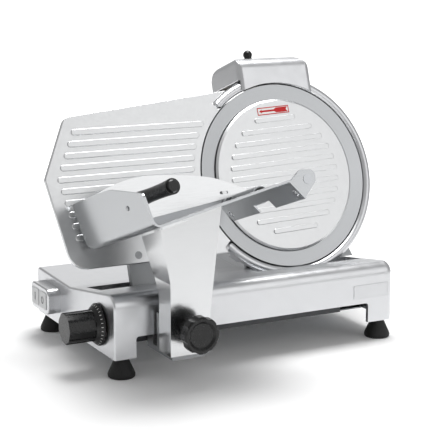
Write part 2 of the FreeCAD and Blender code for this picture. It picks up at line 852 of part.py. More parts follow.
def make_gauge_plate():
    """Ribbed plate left of the blade that sets the slice thickness."""
    corners = [(-342.5, 19.9), (-321.6, -96.8), (-60, -96.8), (-60, 121.8), (-305.9, 97.9)]
    plate = slab(corners, [9, 26, 0, 0, 15], gauge_back, gauge_face)
    front_edges = [
        edge for edge in plate.Edges
        if edge.BoundBox.ZMin > gauge_face - 0.01 and edge.BoundBox.XMin < -61
        and (edge.BoundBox.XMax < -60.5 or edge.Length > 100)
    ]
    plate = plate.makeFillet(1.2, front_edges)
    plate = plate.cut(rod(blade_radius + 1.6, (0, 0, gauge_back - 1), Z_AXIS, 20))
    inner = guard_inner - 4
    outer = guard_outer + 1.4
    section = Part.makePolygon([
        Vector(inner, 0, -30), Vector(outer, 0, -30), Vector(outer, 0, 10), Vector(inner, 0, 10),
        Vector(inner, 0, -30),
    ])
    plate = plate.cut(ring_sector(section, guard_start - 1, guard_end + 1))
    beads = []
    for i in range(10):
        u = gauge_rib_first - gauge_rib_pitch * i
        if u > 19.9:
            edge_x = -342.5 + (u - 19.9) / 2.13
        else:
            edge_x = -342.5 + (19.9 - u) * 0.179
        right = -math.sqrt((guard_outer - gauge_rib_margin) ** 2 - u ** 2)
        beads.append(capsule(edge_x + 16, right + 2, u, 4, gauge_face, gauge_rib_rise))
    plate = fuse([plate] + beads)
    for x, u in gauge_screw_places:
        plate = plate.cut(rod(2.5 + running, (x, u, gauge_back - 1), Z_AXIS, 12))
        plate = plate.cut(rod(5 + running, (x, u, gauge_face - 2.4), Z_AXIS, 6))
    return on_blade(plate)


def make_gauge_screws():
    """Slotted screws that fix the plate to its column."""
    screws = []
    for x, u in gauge_screw_places:
        head = rod(5, (x, u, gauge_face - 2.4), Z_AXIS, 2.2)
        screw = fuse([head, rod(2.5, (x, u, gauge_back - 7), Z_AXIS, gauge_thickness + 5)])
        slot = box(-6, 6, -0.6, 0.6, gauge_face - 1.2, gauge_face + 2)
        slot.rotate(Vector(0, 0, 0), Z_AXIS, 25)
        slot.translate(Vector(x, u, 0))
        screws.append(screw.cut(slot))
    return on_blade(group(screws))


def make_gauge_arm():
    """Column behind the plate, with the sleeve on its slide rod and the finger to the cam."""
    outer = rectangle(gauge_column_left, gauge_column_right, gauge_sleeve_u, -74)
    column = slab(outer, [0, 0, 5, 5], gauge_back - 9, gauge_back)
    sleeve = rod(13, (gauge_x, gauge_sleeve_u, -28), Z_AXIS, 32)
    finger_x = cam_left + cam_thickness + gap - blade_x
    bar = box(finger_x, gauge_x, dial_u - 4, dial_u + 4, -8, 2)
    finger = box(finger_x, finger_x + 6, dial_u - 4, dial_u + 4, -8, dial_n - groove_start + pin_radius + 1)
    pin = rod(pin_radius, (finger_x + 1, dial_u, dial_n - groove_start), Vector(-1, 0, 0), 1 + gap + 4.4)
    arm = fuse([column, sleeve, bar, finger, pin])
    arm = arm.cut(rod(gauge_rod_radius + slide_fit, (gauge_x, gauge_sleeve_u, -60), Z_AXIS, 100))
    for x, u in gauge_screw_places:
        arm = arm.cut(rod(2.5 + running, (x, u, gauge_back - 8), Z_AXIS, 10))
    return on_blade(arm)


def make_gauge_rod():
    """Slide rod square to the blade, held between two blocks on the base's roof."""
    return on_blade(rod(gauge_rod_radius, (gauge_x, gauge_sleeve_u, -58), Z_AXIS, 82))


def make_rod_block(n, thickness):
    """Block under the base's roof that holds one end of the gauge slide rod."""
    block = box(gauge_x - 11, gauge_x + 11, gauge_sleeve_u - 10, gauge_sleeve_u + 70, n, n + thickness)
    return on_blade(block).common(base_solid(wall, foot_height + 3))


add("gauge_plate", make_gauge_plate())
add("gauge_screws", make_gauge_screws())
add("gauge_arm", make_gauge_arm())
add("gauge_slide_rod", fuse([make_gauge_rod(), make_rod_block(13, 9), make_rod_block(-56, 9)]))

# Thickness dial


def make_dial_knob():
    """Fluted grip with a wider graduated skirt."""
    skirt = lathe([
        (4, -11), (dial_grip_radius, -11), (dial_skirt_radius - 0.8, -4.6), (dial_skirt_radius, -3.4),
        (dial_skirt_radius, -2), (4, -2),
    ])
    grip = rod(dial_grip_radius, (0, 0, -dial_reach), Z_AXIS, dial_reach - 7)
    rim = [edge for edge in grip.Edges if edge.BoundBox.ZMax < -dial_reach + 0.01]
    grip = grip.makeFillet(1.2, rim)
    for i in range(dial_flats):
        flat = box(dial_grip_radius - dial_flat_depth, dial_grip_radius + 5, -5, 5, -dial_reach - 1, -11)
        flat.rotate(Vector(0, 0, 0), Z_AXIS, 360 * i / dial_flats)
        grip = grip.cut(flat)
    knob = fuse([skirt, grip]).cut(rod(5.02, (0, 0, -dial_reach + 6), Z_AXIS, dial_reach))
    knob = turned(knob, FreeCAD.Matrix(0, 0, 1, 0, 1, 0, 0, 0, 0, 1, 0, 0, 0, 0, 0, 1))
    knob.translate(Vector(0, dial_y, dial_z))
    return knob


def make_cam():
    """Dial spindle with its disc, whose spiral groove moves the gauge finger."""
    disc = rod(cam_radius, (0, 0, cam_left), Z_AXIS, cam_thickness)
    half = pin_radius + 0.25
    turn = math.radians(dial_turn)
    start = -math.radians(22)
    end = turn + math.radians(9)
    steps = 36
    sides = {1: [], -1: []}
    for i in range(steps + 1):
        sweep = start + (end - start) * i / steps
        radius = groove_start + gauge_travel * sweep / turn
        slope = gauge_travel / turn
        length = math.hypot(radius, slope)
        for side in (1, -1):
            r = radius + side * half * radius / length
            t = side * half * slope / length
            angle = -sweep
            x = r * math.cos(angle) - t * math.sin(angle)
            y = r * math.sin(angle) + t * math.cos(angle)
            sides[side].append(Vector(x, y, 0))
    curves = []
    for side in (1, -1):
        curve = Part.BSplineCurve()
        curve.interpolate(sides[side])
        curves.append(curve.toShape())
    edges = [
        curves[0], Part.makeLine(sides[1][-1], sides[-1][-1]),
        curves[1], Part.makeLine(sides[-1][0], sides[1][0]),
    ]
    groove = Part.Face(Part.Wire(Part.__sortEdges__(edges))).extrude(Vector(0, 0, 10))
    groove.translate(Vector(0, 0, cam_left + cam_thickness - 5))
    disc = fuse([disc.cut(groove), rod(5, (0, 0, 6 - dial_reach), Z_AXIS, dial_reach - 6 + cam_left)])
    disc = along_x(disc)
    disc.rotate(Vector(0, 0, 0), X_AXIS, -blade_lean)
    disc.translate(Vector(0, dial_y, dial_z))
    return disc


add("dial_bush", tube(9, 5 + slide_fit, (-0.5, dial_y, dial_z), X_AXIS, cam_left - 0.7 + 0.5))
add("dial_knob", make_dial_knob())
add("dial_cam", make_cam())

# Carriage on its rod and guide bar

carriage_right = carriage_left + carriage_width
carriage_middle = (carriage_left + carriage_right) / 2
bar_left = 38.0
bar_right = 337.0
roller_radius = 7.0
roller_y = bar_y - 0.3 - roller_radius


def make_guide_bar():
    """Flat bar that keeps the carriage upright, hung from the base's roof by two posts."""
    bar = box(bar_left, bar_right, bar_y, bar_y + bar_depth, bar_low, bar_high)
    roof = base_solid(wall, foot_height)
    posts = []
    for x in (bar_left + 5, bar_right - 5):
        post = rod(3.5, (x, bar_y + bar_depth - 4.5, bar_high - 1), Z_AXIS, 80)
        posts.append(post.common(roof))
    return fuse([bar] + posts)


def make_bar_buffer():
    """Black end cap on the left end of the guide bar."""
    points = rectangle(bar_y, bar_y + bar_depth, bar_low, bar_high)
    cap = along_x(slab(points, 2, 0, 6))
    cap.translate(Vector(bar_left - 6, 0, 0))
    return cap


def make_carriage_block():
    """Block that joins the sleeve on the rod to the foot of the tray arm."""
    left = carriage_left + 4
    right = carriage_right - 4
    tongue = box(left, right, pedestal_front + pedestal_thickness, bar_y - 2, 31, 38)
    upright = box(left, right, pedestal_front + pedestal_thickness, -4, 31, 80)
    cheeks = [box(x, x + 6, wall + 2.5, rod_y + 4, 31, rod_z) for x in (left, right - 6)]
    sleeve = rod(12.5, (carriage_left, rod_y, rod_z), X_AXIS, carriage_width)
    pin = rod(2.5, (carriage_middle, roller_y, 37), Z_AXIS, 13)
    block = fuse([tongue, upright, sleeve, pin] + cheeks)
    block = block.cut(rod(rod_radius + 2.5, (carriage_left - 1, rod_y, rod_z), X_AXIS, carriage_width + 2))
    lock_start = (carriage_middle, pedestal_front - 1, lock_z)
    block = block.cut(rod(4 + slide_fit, lock_start, Y_AXIS, 40))
    return block


def make_bushing(x):
    """Bronze bushing in one end of the sleeve."""
    return tube(rod_radius + 2.5, rod_radius + slide_fit, (x, rod_y, rod_z), X_AXIS, 12)


add("carriage_rod", rod(rod_radius, (wall - 2, rod_y, rod_z), X_AXIS, base_length - 2 * wall + 4))
add("guide_bar", make_guide_bar())
add("guide_bar_buffer", make_bar_buffer())
add("carriage_block", make_carriage_block())
add("carriage_bushings", group([make_bushing(carriage_left), make_bushing(carriage_right - 12)]))
roller = tube(roller_radius, 2.5 + slide_fit, (carriage_middle, roller_y, 39), Z_AXIS, 10)
add("carriage_roller", roller)

# Tray arm, tray and push rod

pedestal_left = carriage_left + 0.5
pedestal_right = carriage_right + 0.5
left_upper = pedestal_left - 14.5
left_top = pedestal_left - 20.8
right_lower = pedestal_right + 1.5
right_top = pedestal_right + 19.5
tray_screw_places = [(45, 122), (45, 150), (99, 122), (99, 150)]
rivet_place = (162, 33)


def make_pedestal():
    """Folded sheet arm between the carriage block and the tray."""
    left_line = [(36.5, pedestal_left), (125, pedestal_left), (205, left_upper), (240, left_top)]
    right_line = [(36.5, pedestal_right), (85, right_lower), (240, right_top)]
    front = right_line + left_line[::-1]
    sheet = along_y(slab(front, 0, pedestal_front, pedestal_front + pedestal_thickness))
    side = [(-50, 36.5), (-18, 36.5), (-18, 104), (-2, 133), (11, 173), (17, 200), (17, 240), (-50, 240)]
    sides = along_x(slab(side, [0, 0, 12, 40, 0, 0, 0, 0], 0, 200))
    left = left_line + [(z, x + pedestal_thickness) for z, x in reversed(left_line)]
    right = right_line + [(z, x - pedestal_thickness) for z, x in reversed(right_line)]
    flanges = [along_y(slab(band, 0, -60, 30)).common(sides) for band in (left, right)]
    above = on_tray(box(-100, 400, 0, 300, -100, 400))
    arm = fuse([sheet] + flanges).cut(above)
    top = on_tray(box(31, 113, -pedestal_thickness, 0, 105, 166))
    for f, n in tray_screw_places:
        top = top.cut(on_tray(rod(screw_radius + running, (f, -5, n), Y_AXIS, 8)))
    arm = fuse([arm, top])
    return arm.cut(rod(4 + gap, (carriage_middle, pedestal_front - 1, lock_z), Y_AXIS, 5))


def make_tray():
    """Folded sheet tray with a tall left wall and a lip bent down on the right."""
    lip = math.radians(lip_turn)
    end_f = tray_floor + lip_length * math.cos(lip)
    end_w = -lip_length * math.sin(lip)
    side_f = tray_sheet * math.sin(lip)
    side_w = tray_sheet * math.cos(lip)
    corner = tray_floor + tray_sheet * math.tan(lip / 2)
    section = [
        (0, 64), (0, 0), (tray_floor, 0), (end_f, end_w), (end_f + side_f, end_w + side_w),
        (corner, tray_sheet), (tray_sheet, tray_sheet), (tray_sheet, 64),
    ]
    radii = [0, tray_bend, 2, 0, 0, 2 + tray_sheet, tray_bend - tray_sheet, 0]
    sheet = slab(section, radii, tray_back, tray_front)
    wall_shape = [
        (-1, tray_front), (42, tray_front), (61.5, 128), (63, 77), (62.5, tray_back), (-1, tray_back),
    ]
    wall_keeper = along_x(slab(wall_shape, [0, 6, 60, 60, 6, 22], -1, tray_bend))
    floor_keeper = box(tray_bend, 260, -40, 20, tray_back + 2, tray_front)
    corner_cut = box(tray_bend, tray_bend + 22, -5, 5, 0, tray_back + 24)
    corner_cut = corner_cut.cut(rod(22, (tray_bend + 22, -6, tray_back + 24), Y_AXIS, 12))
    floor_keeper = floor_keeper.cut(corner_cut)
    floor_keeper = floor_keeper.cut(box(tray_floor + 1, 260, -40, -0.4, 0, lip_back))
    tray = sheet.common(wall_keeper.fuse(floor_keeper))
    along = Vector(math.cos(lip), -math.sin(lip), 0)
    notch_low = Vector(tray_floor, 0, 0) + along * 15.5
    notch = box(0, 20, -5, 8, 100, 141)
    notch.rotate(Vector(0, 0, 0), Z_AXIS, -lip_turn)
    notch.translate(notch_low)
    tray = tray.cut(notch)
    square = Vector(math.sin(lip), math.cos(lip), 0)
    for n, reach in ((205, 15), (205, 19), (36, 14.5), (36, 19)):
        place = Vector(tray_floor, 0, n) + along * reach - square * 4
        tray = tray.cut(Part.makeCylinder(3, 10, place, square))
    for f, n in tray_screw_places:
        tray = tray.cut(rod(screw_radius + running, (f, -1, n), Y_AXIS, 5))
    tray = tray.cut(rod(1.5 + running, (-1, rivet_place[1], rivet_place[0]), X_AXIS, 5))
    lug_shape = [(-119.2, -36.6), (-103.5, -23.3), (-83.6, -24.5), (-84.2, -38.5), (-101.6, -56.6)]
    hole = rod(push_rod_radius + 0.02, (push_rod_x, push_rod_u, 0), Z_AXIS, 300)
    lugs = [slab(lug_shape, [0, 6, 8, 5, 0], n, n + 4).cut(hole) for n in (lip_back, tray_front - 4)]
    return fuse([on_tray(tray)] + [on_blade(lug) for lug in lugs])


def make_tray_screws():
    """Screws between arm and tray, and the rivet in the tray's wall."""
    screws = []
    for f, n in tray_screw_places:
        head = rod(4.5, (f, -pedestal_thickness - 2.5, n), Y_AXIS, 2.5)
        screws.append(fuse([head, rod(screw_radius, (f, -pedestal_thickness - 2.5, n), Y_AXIS, 8)]))
    n, w = rivet_place
    head = rod(3, (-0.9, w, n), X_AXIS, 0.9)
    tail = rod(2.6, (tray_sheet, w, n), X_AXIS, 1)
    screws.append(fuse([head, rod(1.5, (-0.9, w, n), X_AXIS, 4), tail]))
    return on_tray(group(screws))


def make_lock_knob():
    """Round lobed knob with a dished face and the screw that locks the tray arm to the carriage."""
    back = lock_knob_front + lock_knob_width
    knob = lathe([
        (0, back), (lock_knob_radius - 3, back), (lock_knob_radius, back - 3),
        (lock_knob_radius, lock_knob_front + 2), (lock_knob_radius - 2, lock_knob_front),
        (lock_knob_radius - 5, lock_knob_front), (lock_knob_radius - 8, lock_knob_front + 2.5),
        (0, lock_knob_front + 2.5),
    ])
    for i in range(lock_knob_lobes):
        angle = math.radians(360 * (i + 0.5) / lock_knob_lobes)
        x = (lock_knob_radius + 7) * math.cos(angle)
        y = (lock_knob_radius + 7) * math.sin(angle)
        knob = knob.cut(rod(9, (x, y, lock_knob_front - 1), Z_AXIS, lock_knob_width + 2))
    hub = rod(10, (0, 0, back - 1), Z_AXIS, pedestal_front - gap - back + 1)
    stud = rod(4, (0, 0, back - 1), Z_AXIS, -18 - back + 1)
    knob = fuse([knob, hub, stud])
    knob = turned(knob, FreeCAD.Matrix(1, 0, 0, 0, 0, 0, 1, 0, 0, -1, 0, 0, 0, 0, 0, 1))
    knob.translate(Vector(carriage_middle, 0, lock_z))
    return knob


add("tray_pedestal", make_pedestal())
add("tray", make_tray())
add("tray_screws", make_tray_screws())
push_rod = rod(push_rod_radius, (push_rod_x, push_rod_u, lip_back), Z_AXIS, tray_front + 0.5 - lip_back)
add("push_rod", on_blade(push_rod))
add("lock_knob", make_lock_knob())

# Food pusher

plate_front = pusher_back + pusher_sheet
bush_back = lip_back + 4 + gap
bush_front = sleeve_front + 0.4


def on_push_rod(shape):
    """Move a shape drawn about the third axis to the push rod."""
    moved = shape.copy()
    moved.translate(Vector(push_rod_x, push_rod_u, 0))
    return on_blade(moved)


def make_pusher_bush():
    """Plastic bush that slides on the push rod between its two flanges."""
    inner = push_rod_radius + slide_fit
    rear = sleeve_back + 3.4
    front = sleeve_front - 1.3
    return on_push_rod(lathe([
        (inner, bush_back), (sleeve_radius, bush_back), (sleeve_radius, rear), (bush_radius, rear),
        (bush_radius, front), (bush_radius + 1.2, front), (bush_radius + 1.2, bush_front),
        (inner, bush_front),
    ]))


def make_pusher_sleeve():
    """Metal sleeve that swings on the bush and carries the pusher."""
    low = sleeve_back + 3.4 + gap
    length = sleeve_front - 1.3 - gap - low
    sleeve = tube(sleeve_radius, bush_radius + slide_fit, (0, 0, low), Z_AXIS, length)
    return on_push_rod(sleeve)


def make_pusher_plate():
    """Arched plate that pushes the food."""
    top = [
        (-309, -16), (-268, 1.2), (-233, 8), (-194, 6.9), (-163.9, 3.9), (-125.9, -3.5), (-108.3, -10.4),
        (-86, -20),
    ]
    curve = Part.BSplineCurve()
    curve.interpolate([Vector(x, u, 0) for x, u in top])
    corners = [Vector(x, u, 0) for x, u in (top[-1], (-86, -34), (-104, -28), (-300.3, -56.4), top[0])]
    edges = [curve.toShape()] + [Part.makeLine(a, b) for a, b in zip(corners, corners[1:])]
    plate = Part.Face(Part.Wire(edges)).extrude(Vector(0, 0, pusher_sheet))
    plate.translate(Vector(0, 0, pusher_back))
    plate = plate.cut(rod(sleeve_radius, (push_rod_x, push_rod_u, 0), Z_AXIS, 200))
    plate = plate.cut(rod(4 + slide_fit, (grip_x, grip_u, 0), Z_AXIS, 200))
    for x, u in ((-220, -14), (-200.5, -14), (-119, -22)):
        slot = slab(rectangle(x - 6, x + 6, u - 2, u + 2), 1.9, 30, 50)
        plate = plate.cut(slot)
    return on_blade(plate)


def make_grip_strip():
    """Spiked strip behind the plate that holds the food."""
    points = [(5.5, 3.3), (183, 3.3), (190, 12), (150, 34), (60, 44), (8, 40)]
    strip = slab(points, [2, 2, 2, 30, 30, 8], pusher_back - 2.5, pusher_back)
    spikes = []
    for f in (20, 50, 80, 110, 140, 168):
        for w in (9, 22):
            spike = Part.makeCone(0.4, 2.5, 7.5, Vector(f, w, pusher_back - 9.5), Z_AXIS)
            spikes.append(spike)
    strip = on_tray(fuse([strip] + spikes))
    return strip.cut(on_blade(rod(7, (grip_x, grip_u, 0), Z_AXIS, 200)))


def make_pusher_grip():
    """Round handle of the pusher, slightly waisted."""
    length = grip_front - plate_front
    profile = [
        Vector(4 + slide_fit, 0, plate_front), Vector(grip_radius, 0, plate_front),
        Vector(grip_radius, 0, grip_front), Vector(4 + slide_fit, 0, grip_front),
    ]
    waist = Part.Arc(profile[1], Vector(grip_radius - 1.2, 0, plate_front + length * 0.45), profile[2])
    wire = Part.Wire([
        Part.makeLine(profile[0], profile[1]), waist.toShape(), Part.makeLine(profile[2], profile[3]),
        Part.makeLine(profile[3], profile[0]),
    ])
    grip = Part.Face(wire).revolve(Vector(0, 0, 0), Z_AXIS, 360)
    grip.translate(Vector(grip_x, grip_u, 0))
    return on_blade(grip)


def make_grip_bolt():
    """Bolt through the handle with its domed head and a thin nut behind the plate."""
    bolt = lathe([
        (0, pusher_back - 2.4), (6, pusher_back - 2.4), (6, pusher_back), (4, pusher_back), (4, grip_front),
        (8, grip_front), (8, grip_front + 1.6), (6.5, grip_front + 3), (0, grip_front + 3),
    ])
    bolt.translate(Vector(grip_x, grip_u, 0))
    return on_blade(bolt)


add("pusher_bush", make_pusher_bush())
add("pusher_sleeve", make_pusher_sleeve())
add("pusher_plate", make_pusher_plate())
add("pusher_grip_strip", make_grip_strip())
add("pusher_grip", make_pusher_grip())
add("grip_bolt", make_grip_bolt())

# Sharpener

cap_back = cap_front - cap_depth
stone_u = 148.0
stone_back = -55.5
stone_width = 7.5
grind_x = post_x - 24
deburr_x = post_x + 24
knob_x = -20.4
knob_n = -15.0


def cap_body(inset, low):
    """Rounded block of the sharpener's cover, with its faces moved in by inset."""
    left = cap_left + inset
    right = cap_right - inset
    top = cap_top - inset
    back = cap_back + inset
    front = cap_front - inset
    face_corners = rectangle(left, right, low, top)
    face = slab(face_corners, [0, 0, 28 - inset, 9 - inset], back, front)
    side_corners = [(low, back), (top, back), (top, front), (low, front)]
    side = along_x(slab(side_corners, [0, 28 - inset, 17 - inset, 0], left, right))
    plan = along_y(slab(
        [(back, left), (front, left), (front, right), (back, right)],
        [3, 8 - inset, 8 - inset, 3], low, top,
    ))
    return face.common(side).common(plan)


def make_sharpener_cap():
    """Cover of the sharpener whose front face reaches down over the ring guard."""
    cap = cap_body(0, 105).cut(cap_body(cap_wall, 100))
    cap = cap.cut(box(-100, 100, 90, cap_side_low, cap_back - 1, cap_front - cap_wall - 0.01))
    cap = cap.cut(rod(guard_inner + 0.5, (0, 0, -100), Z_AXIS, 120))
    for x in (grind_x, deburr_x):
        cap = cap.cut(rod(3.5, (x, stone_u, cap_back - 1), Z_AXIS, 30))
    cap = cap.cut(rod(2.5 + running, (knob_x, cap_top - 10, knob_n), Y_AXIS, 20))
    return on_blade(cap)


def make_sharpener_post():
    """Post in the support's boss that the sharpener slides on and turns about."""
    return on_blade(rod(post_radius, (post_x, post_foot, post_n), Y_AXIS, 62))


def make_sharpener_head():
    """Head with the sleeve on the post, the plate for both stones and the arm under the knob."""
    sleeve = rod(10, (post_x, 124.4, post_n), Y_AXIS, 35.6)
    plate = box(cap_left + 14, 50, 136, 156, post_n - 6, post_n + 6)
    arm = box(knob_x - 8, knob_x + 8, 146, 156, post_n - 6, knob_n + 7)
    pillar = rod(6, (knob_x, 150, knob_n), Y_AXIS, cap_top - cap_wall - 150)
    head = fuse([sleeve, plate, arm, pillar])
    head = head.cut(rod(post_radius + slide_fit, (post_x, 120, post_n), Y_AXIS, 50))
    for x in (grind_x, deburr_x):
        head = head.cut(rod(3 + slide_fit, (x, stone_u, post_n - 20), Z_AXIS, 40))
    head = head.cut(rod(2.5 + running, (knob_x, 149, knob_n), Y_AXIS, 30))
    return on_blade(head)


def make_sharpener_knob():
    """Ball knob on the screw that holds the cover down."""
    ball = Part.makeSphere(6.2, Vector(knob_x, cap_top + 6.5, knob_n))
    collar = rod(5, (knob_x, cap_top + gap, knob_n), Y_AXIS, 3)
    stud = rod(2.5, (knob_x, 152, knob_n), Y_AXIS, cap_top + 4 - 152)
    return on_blade(fuse([ball, collar, stud]))


def make_stone_spindle(x):
    """Spindle of one stone with the push button at its rear end."""
    end = cap_back - 13.5
    parts = [
        rod(3, (x, stone_u, end), Z_AXIS, post_n + 6 - end),
        rod(8, (x, stone_u, end), Z_AXIS, 8),
        rod(4.5, (x, stone_u, stone_back - 2 - gap), Z_AXIS, 2),
    ]
    return on_blade(fuse(parts))


def make_stone(x):
    """Round grinding stone on its spindle."""
    return on_blade(tube(stone_radius, 3 + slide_fit, (x, stone_u, stone_back), Z_AXIS, stone_width))


add("sharpener_cap", make_sharpener_cap())
add("sharpener_post", make_sharpener_post())
add("sharpener_head", make_sharpener_head())
add("sharpener_knob", make_sharpener_knob())
add("grind_spindle", make_stone_spindle(grind_x))
add("grind_stone", make_stone(grind_x))
add("deburr_spindle", make_stone_spindle(deburr_x))
add("deburr_stone", make_stone(deburr_x))

# Switch on the left end of the base

on_span = (209.0, 232.0)
off_span = (181.0, 206.0)
button_low = switch_z0 + 6
button_high = switch_z1 - 6


def make_switch_housing():
    """Rounded housing on the base's end wall with the contact block behind it."""
    shell = along_x(slab(rectangle(switch_y0, switch_y1, switch_z0, switch_z1), 9, -switch_reach, 0))
    rim = [edge for edge in shell.Edges if edge.BoundBox.XMax < 0.01 - switch_reach]
    shell = shell.makeFillet(2, rim)
    hollow = rectangle(switch_y0 + 2.5, switch_y1 - 2.5, switch_z0 + 2.5, switch_z1 - 2.5)
    shell = shell.cut(along_x(slab(hollow, 6.5, 2.5 - switch_reach, -1.5)))
    for y0, y1 in (on_span, off_span):
        opening = rectangle(y0 - gap, y1 + gap, button_low - gap, button_high + gap)
        shell = shell.cut(along_x(slab(opening, 2 + gap, -switch_reach - 1, 3 - switch_reach)))
    block = box(-1.4, 30, switch_y0 + 14, switch_y1 - 14, switch_z0 + 10, switch_z1 - 10)
    return fuse([shell, block])


def make_button(span, mark):
    """Push button with a raised mark."""
    y0, y1 = span
    face = -switch_reach - 0.8
    button = along_x(slab(rectangle(y0, y1, button_low, button_high), 2, face, -4.5))
    middle_y = (y0 + y1) / 2
    middle_z = (button_low + button_high) / 2
    if mark == "line":
        raised = rectangle(middle_y - 0.8, middle_y + 0.8, middle_z - 5, middle_z + 5)
        sign = slab(raised, 0.6, face - 0.3, face)
    else:
        outer = rectangle(middle_y - 4, middle_y + 4, middle_z - 5, middle_z + 5)
        inner = rectangle(middle_y - 2.6, middle_y + 2.6, middle_z - 3.6, middle_z + 3.6)
        sign = slab(outer, 3.9, face - 0.3, face).cut(slab(inner, 2.5, face - 1, face))
    return fuse([button, along_x(sign)])


add("switch_housing", make_switch_housing())
add("on_button", make_button(on_span, "line"))
add("off_button", make_button(off_span, "oval"))

# Origin at the bottom centre, then one file for each node

whole = nodes["base_casting"].optimalBoundingBox(False)
for shape in nodes.values():
    whole.add(shape.optimalBoundingBox(False))
shift = Vector(-(whole.XMin + whole.XMax) / 2, -(whole.YMin + whole.YMax) / 2, -whole.ZMin)
os.makedirs("parts", exist_ok=True)
for name, shape in nodes.items():
    shape.translate(shift)
    shape.exportStep("parts/" + name + ".step")
print("origin moved by", round(-shift.x, 3), round(-shift.y, 3), round(-shift.z, 3))
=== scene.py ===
import math
from functools import partial

import bmesh
import bpy
from bpy.props import FloatProperty, FloatVectorProperty, IntProperty, PointerProperty, StringProperty
from mathutils import Matrix, Vector


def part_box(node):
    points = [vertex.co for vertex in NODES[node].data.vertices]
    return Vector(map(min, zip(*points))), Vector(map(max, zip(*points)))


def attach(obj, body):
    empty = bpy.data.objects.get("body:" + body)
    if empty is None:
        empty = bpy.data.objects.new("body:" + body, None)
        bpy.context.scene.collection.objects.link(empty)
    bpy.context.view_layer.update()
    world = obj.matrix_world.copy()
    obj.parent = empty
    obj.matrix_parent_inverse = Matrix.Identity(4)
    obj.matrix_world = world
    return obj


bl_info = {
    "name": "Meat slicer",
    "version": (1, 0, 0),
    "blender": (4, 5, 0),
    "location": "View3D > Sidebar > Meat slicer",
    "description": "Finishes, markings and studio for a counter-top meat slicer",
    "category": "Object",
}

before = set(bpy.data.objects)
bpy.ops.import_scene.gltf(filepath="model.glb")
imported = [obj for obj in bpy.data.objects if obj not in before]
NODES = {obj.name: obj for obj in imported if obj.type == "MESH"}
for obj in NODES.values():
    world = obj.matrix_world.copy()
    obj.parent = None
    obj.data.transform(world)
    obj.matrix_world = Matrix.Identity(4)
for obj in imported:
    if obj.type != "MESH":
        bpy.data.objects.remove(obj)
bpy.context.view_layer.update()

# Places and sizes in metres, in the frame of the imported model

LEAN = math.radians(18.5)
BLADE_CENTRE = Vector((0.10875, 0.033438, 0.209))
BLADE_UP = Vector((0, math.sin(LEAN), math.cos(LEAN)))
BLADE_OUT = Vector((0, -math.cos(LEAN), math.sin(LEAN)))

# The tray's lower left corner as (right, up the blade) from the blade's centre, the slope of its floor,
# its sheet, and how far its front edge stands out of the blade's plane
TRAY_APEX = (-0.3013, -0.0764)
TRAY_RISE = math.radians(12.24)
TRAY_SHEET = 0.0025
TRAY_FRONT = 0.2128

# The first bead's distance from the tray's left corner, and where all start in front of the blade's plane
BEAD_START = 0.026
BEAD_BACK = 0.014
BEAD_SIDES = 32
BEAD_SHARP = math.radians(40)

# The dial's centre on the base's left wall, and its sloping skirt as (radius, distance along the axis)
DIAL_CENTRE = Vector((-0.20125, -0.048562, 0.060))
SKIRT_INNER = (0.0196, -0.011)
SKIRT_OUTER = (0.0255, -0.0046)
SKIRT_MARGIN = 0.0003
MARK_THICKNESS = 0.0001

# The label on the cover disc: its turn about the blade's axis, then its face's middle as (right, up, out)
LABEL_TURN = math.radians(2.4)
LABEL_FACE = (-0.0003, 0.089, 0.00255)
PRINT_THICKNESS = 0.00006

# The marks of the two buttons: half sizes of bar and oval, the oval's line, and the paint from below the
# button's face to above it
BAR_HALF = (0.005, 0.0008)
OVAL_HALF = (0.005, 0.004)
OVAL_LINE = 0.0013
OVAL_STEPS = 40
PAINT_LAYER = (-0.0002, 0.00005)

# The camera's heading from the Y axis towards the X axis, and its gaze below the level
CAMERA_HEADING = math.radians(27.76)
CAMERA_DROP = math.radians(11.31)
SENSOR_WIDTH_MM = 36.0
VIEW_END = 50.0

# The soft boxes as name, place, side and the setting that holds the power; all aim at one point
LIGHTS = (
    ("top_light", (0.25, 0.2, 2.2), 1.1, "top_power"),
    ("front_light", (1.15, -2.05, 1.15), 1.8, "front_power"),
    ("back_light", (1.3, 2.3, 1.15), 1.8, "back_power"),
)
LIGHT_AIM = Vector((0, 0, 0.18))

# The paper's own glow for the camera, as (distance from the floor's middle, strength)
GLOW_NEAR = (0.3, 0.04)
GLOW_FAR = (1.1, 1.0)

# Noise values between which the gloss changes
NOISE_LOW = 0.3
NOISE_HIGH = 0.7

# Sockets of a Mix node set to colours
MIX_FACTOR = 0
MIX_A = 6
MIX_B = 7
MIX_COLOUR = 2

WHITE = (1, 1, 1, 1)


def blade_frame():
    """Matrix from (right, up the blade, out of the blade) to the model's frame."""
    turn = Matrix((Vector((1, 0, 0)), BLADE_UP, BLADE_OUT)).transposed()
    return Matrix.Translation(BLADE_CENTRE) @ turn.to_4x4()


def tray_frame():
    """Matrix from (along the floor, square to the floor, out of the blade) to the model's frame."""
    apex = Matrix.Translation((*TRAY_APEX, 0))
    return blade_frame() @ apex @ Matrix.Rotation(TRAY_RISE, 4, "Z")


# Small helpers


def linear(hexcode):
    """Linear colour of an sRGB hex value."""
    values = [int(hexcode[i:i + 2], 16) / 255 for i in (1, 3, 5)]
    return tuple(v / 12.92 if v <= 0.04045 else ((v + 0.055) / 1.055) ** 2.4 for v in values) + (1.0,)


def put(tree, kind, inputs=None, **settings):
    """Adds one node with its settings, values and links."""
    made = tree.nodes.new(kind)
    for name, value in settings.items():
        setattr(made, name, value)
    for name, value in (inputs or {}).items():
        socket = made.inputs[name]
        if isinstance(value, bpy.types.NodeSocket):
            tree.links.new(value, socket)
        else:
            socket.default_value = value
    return made


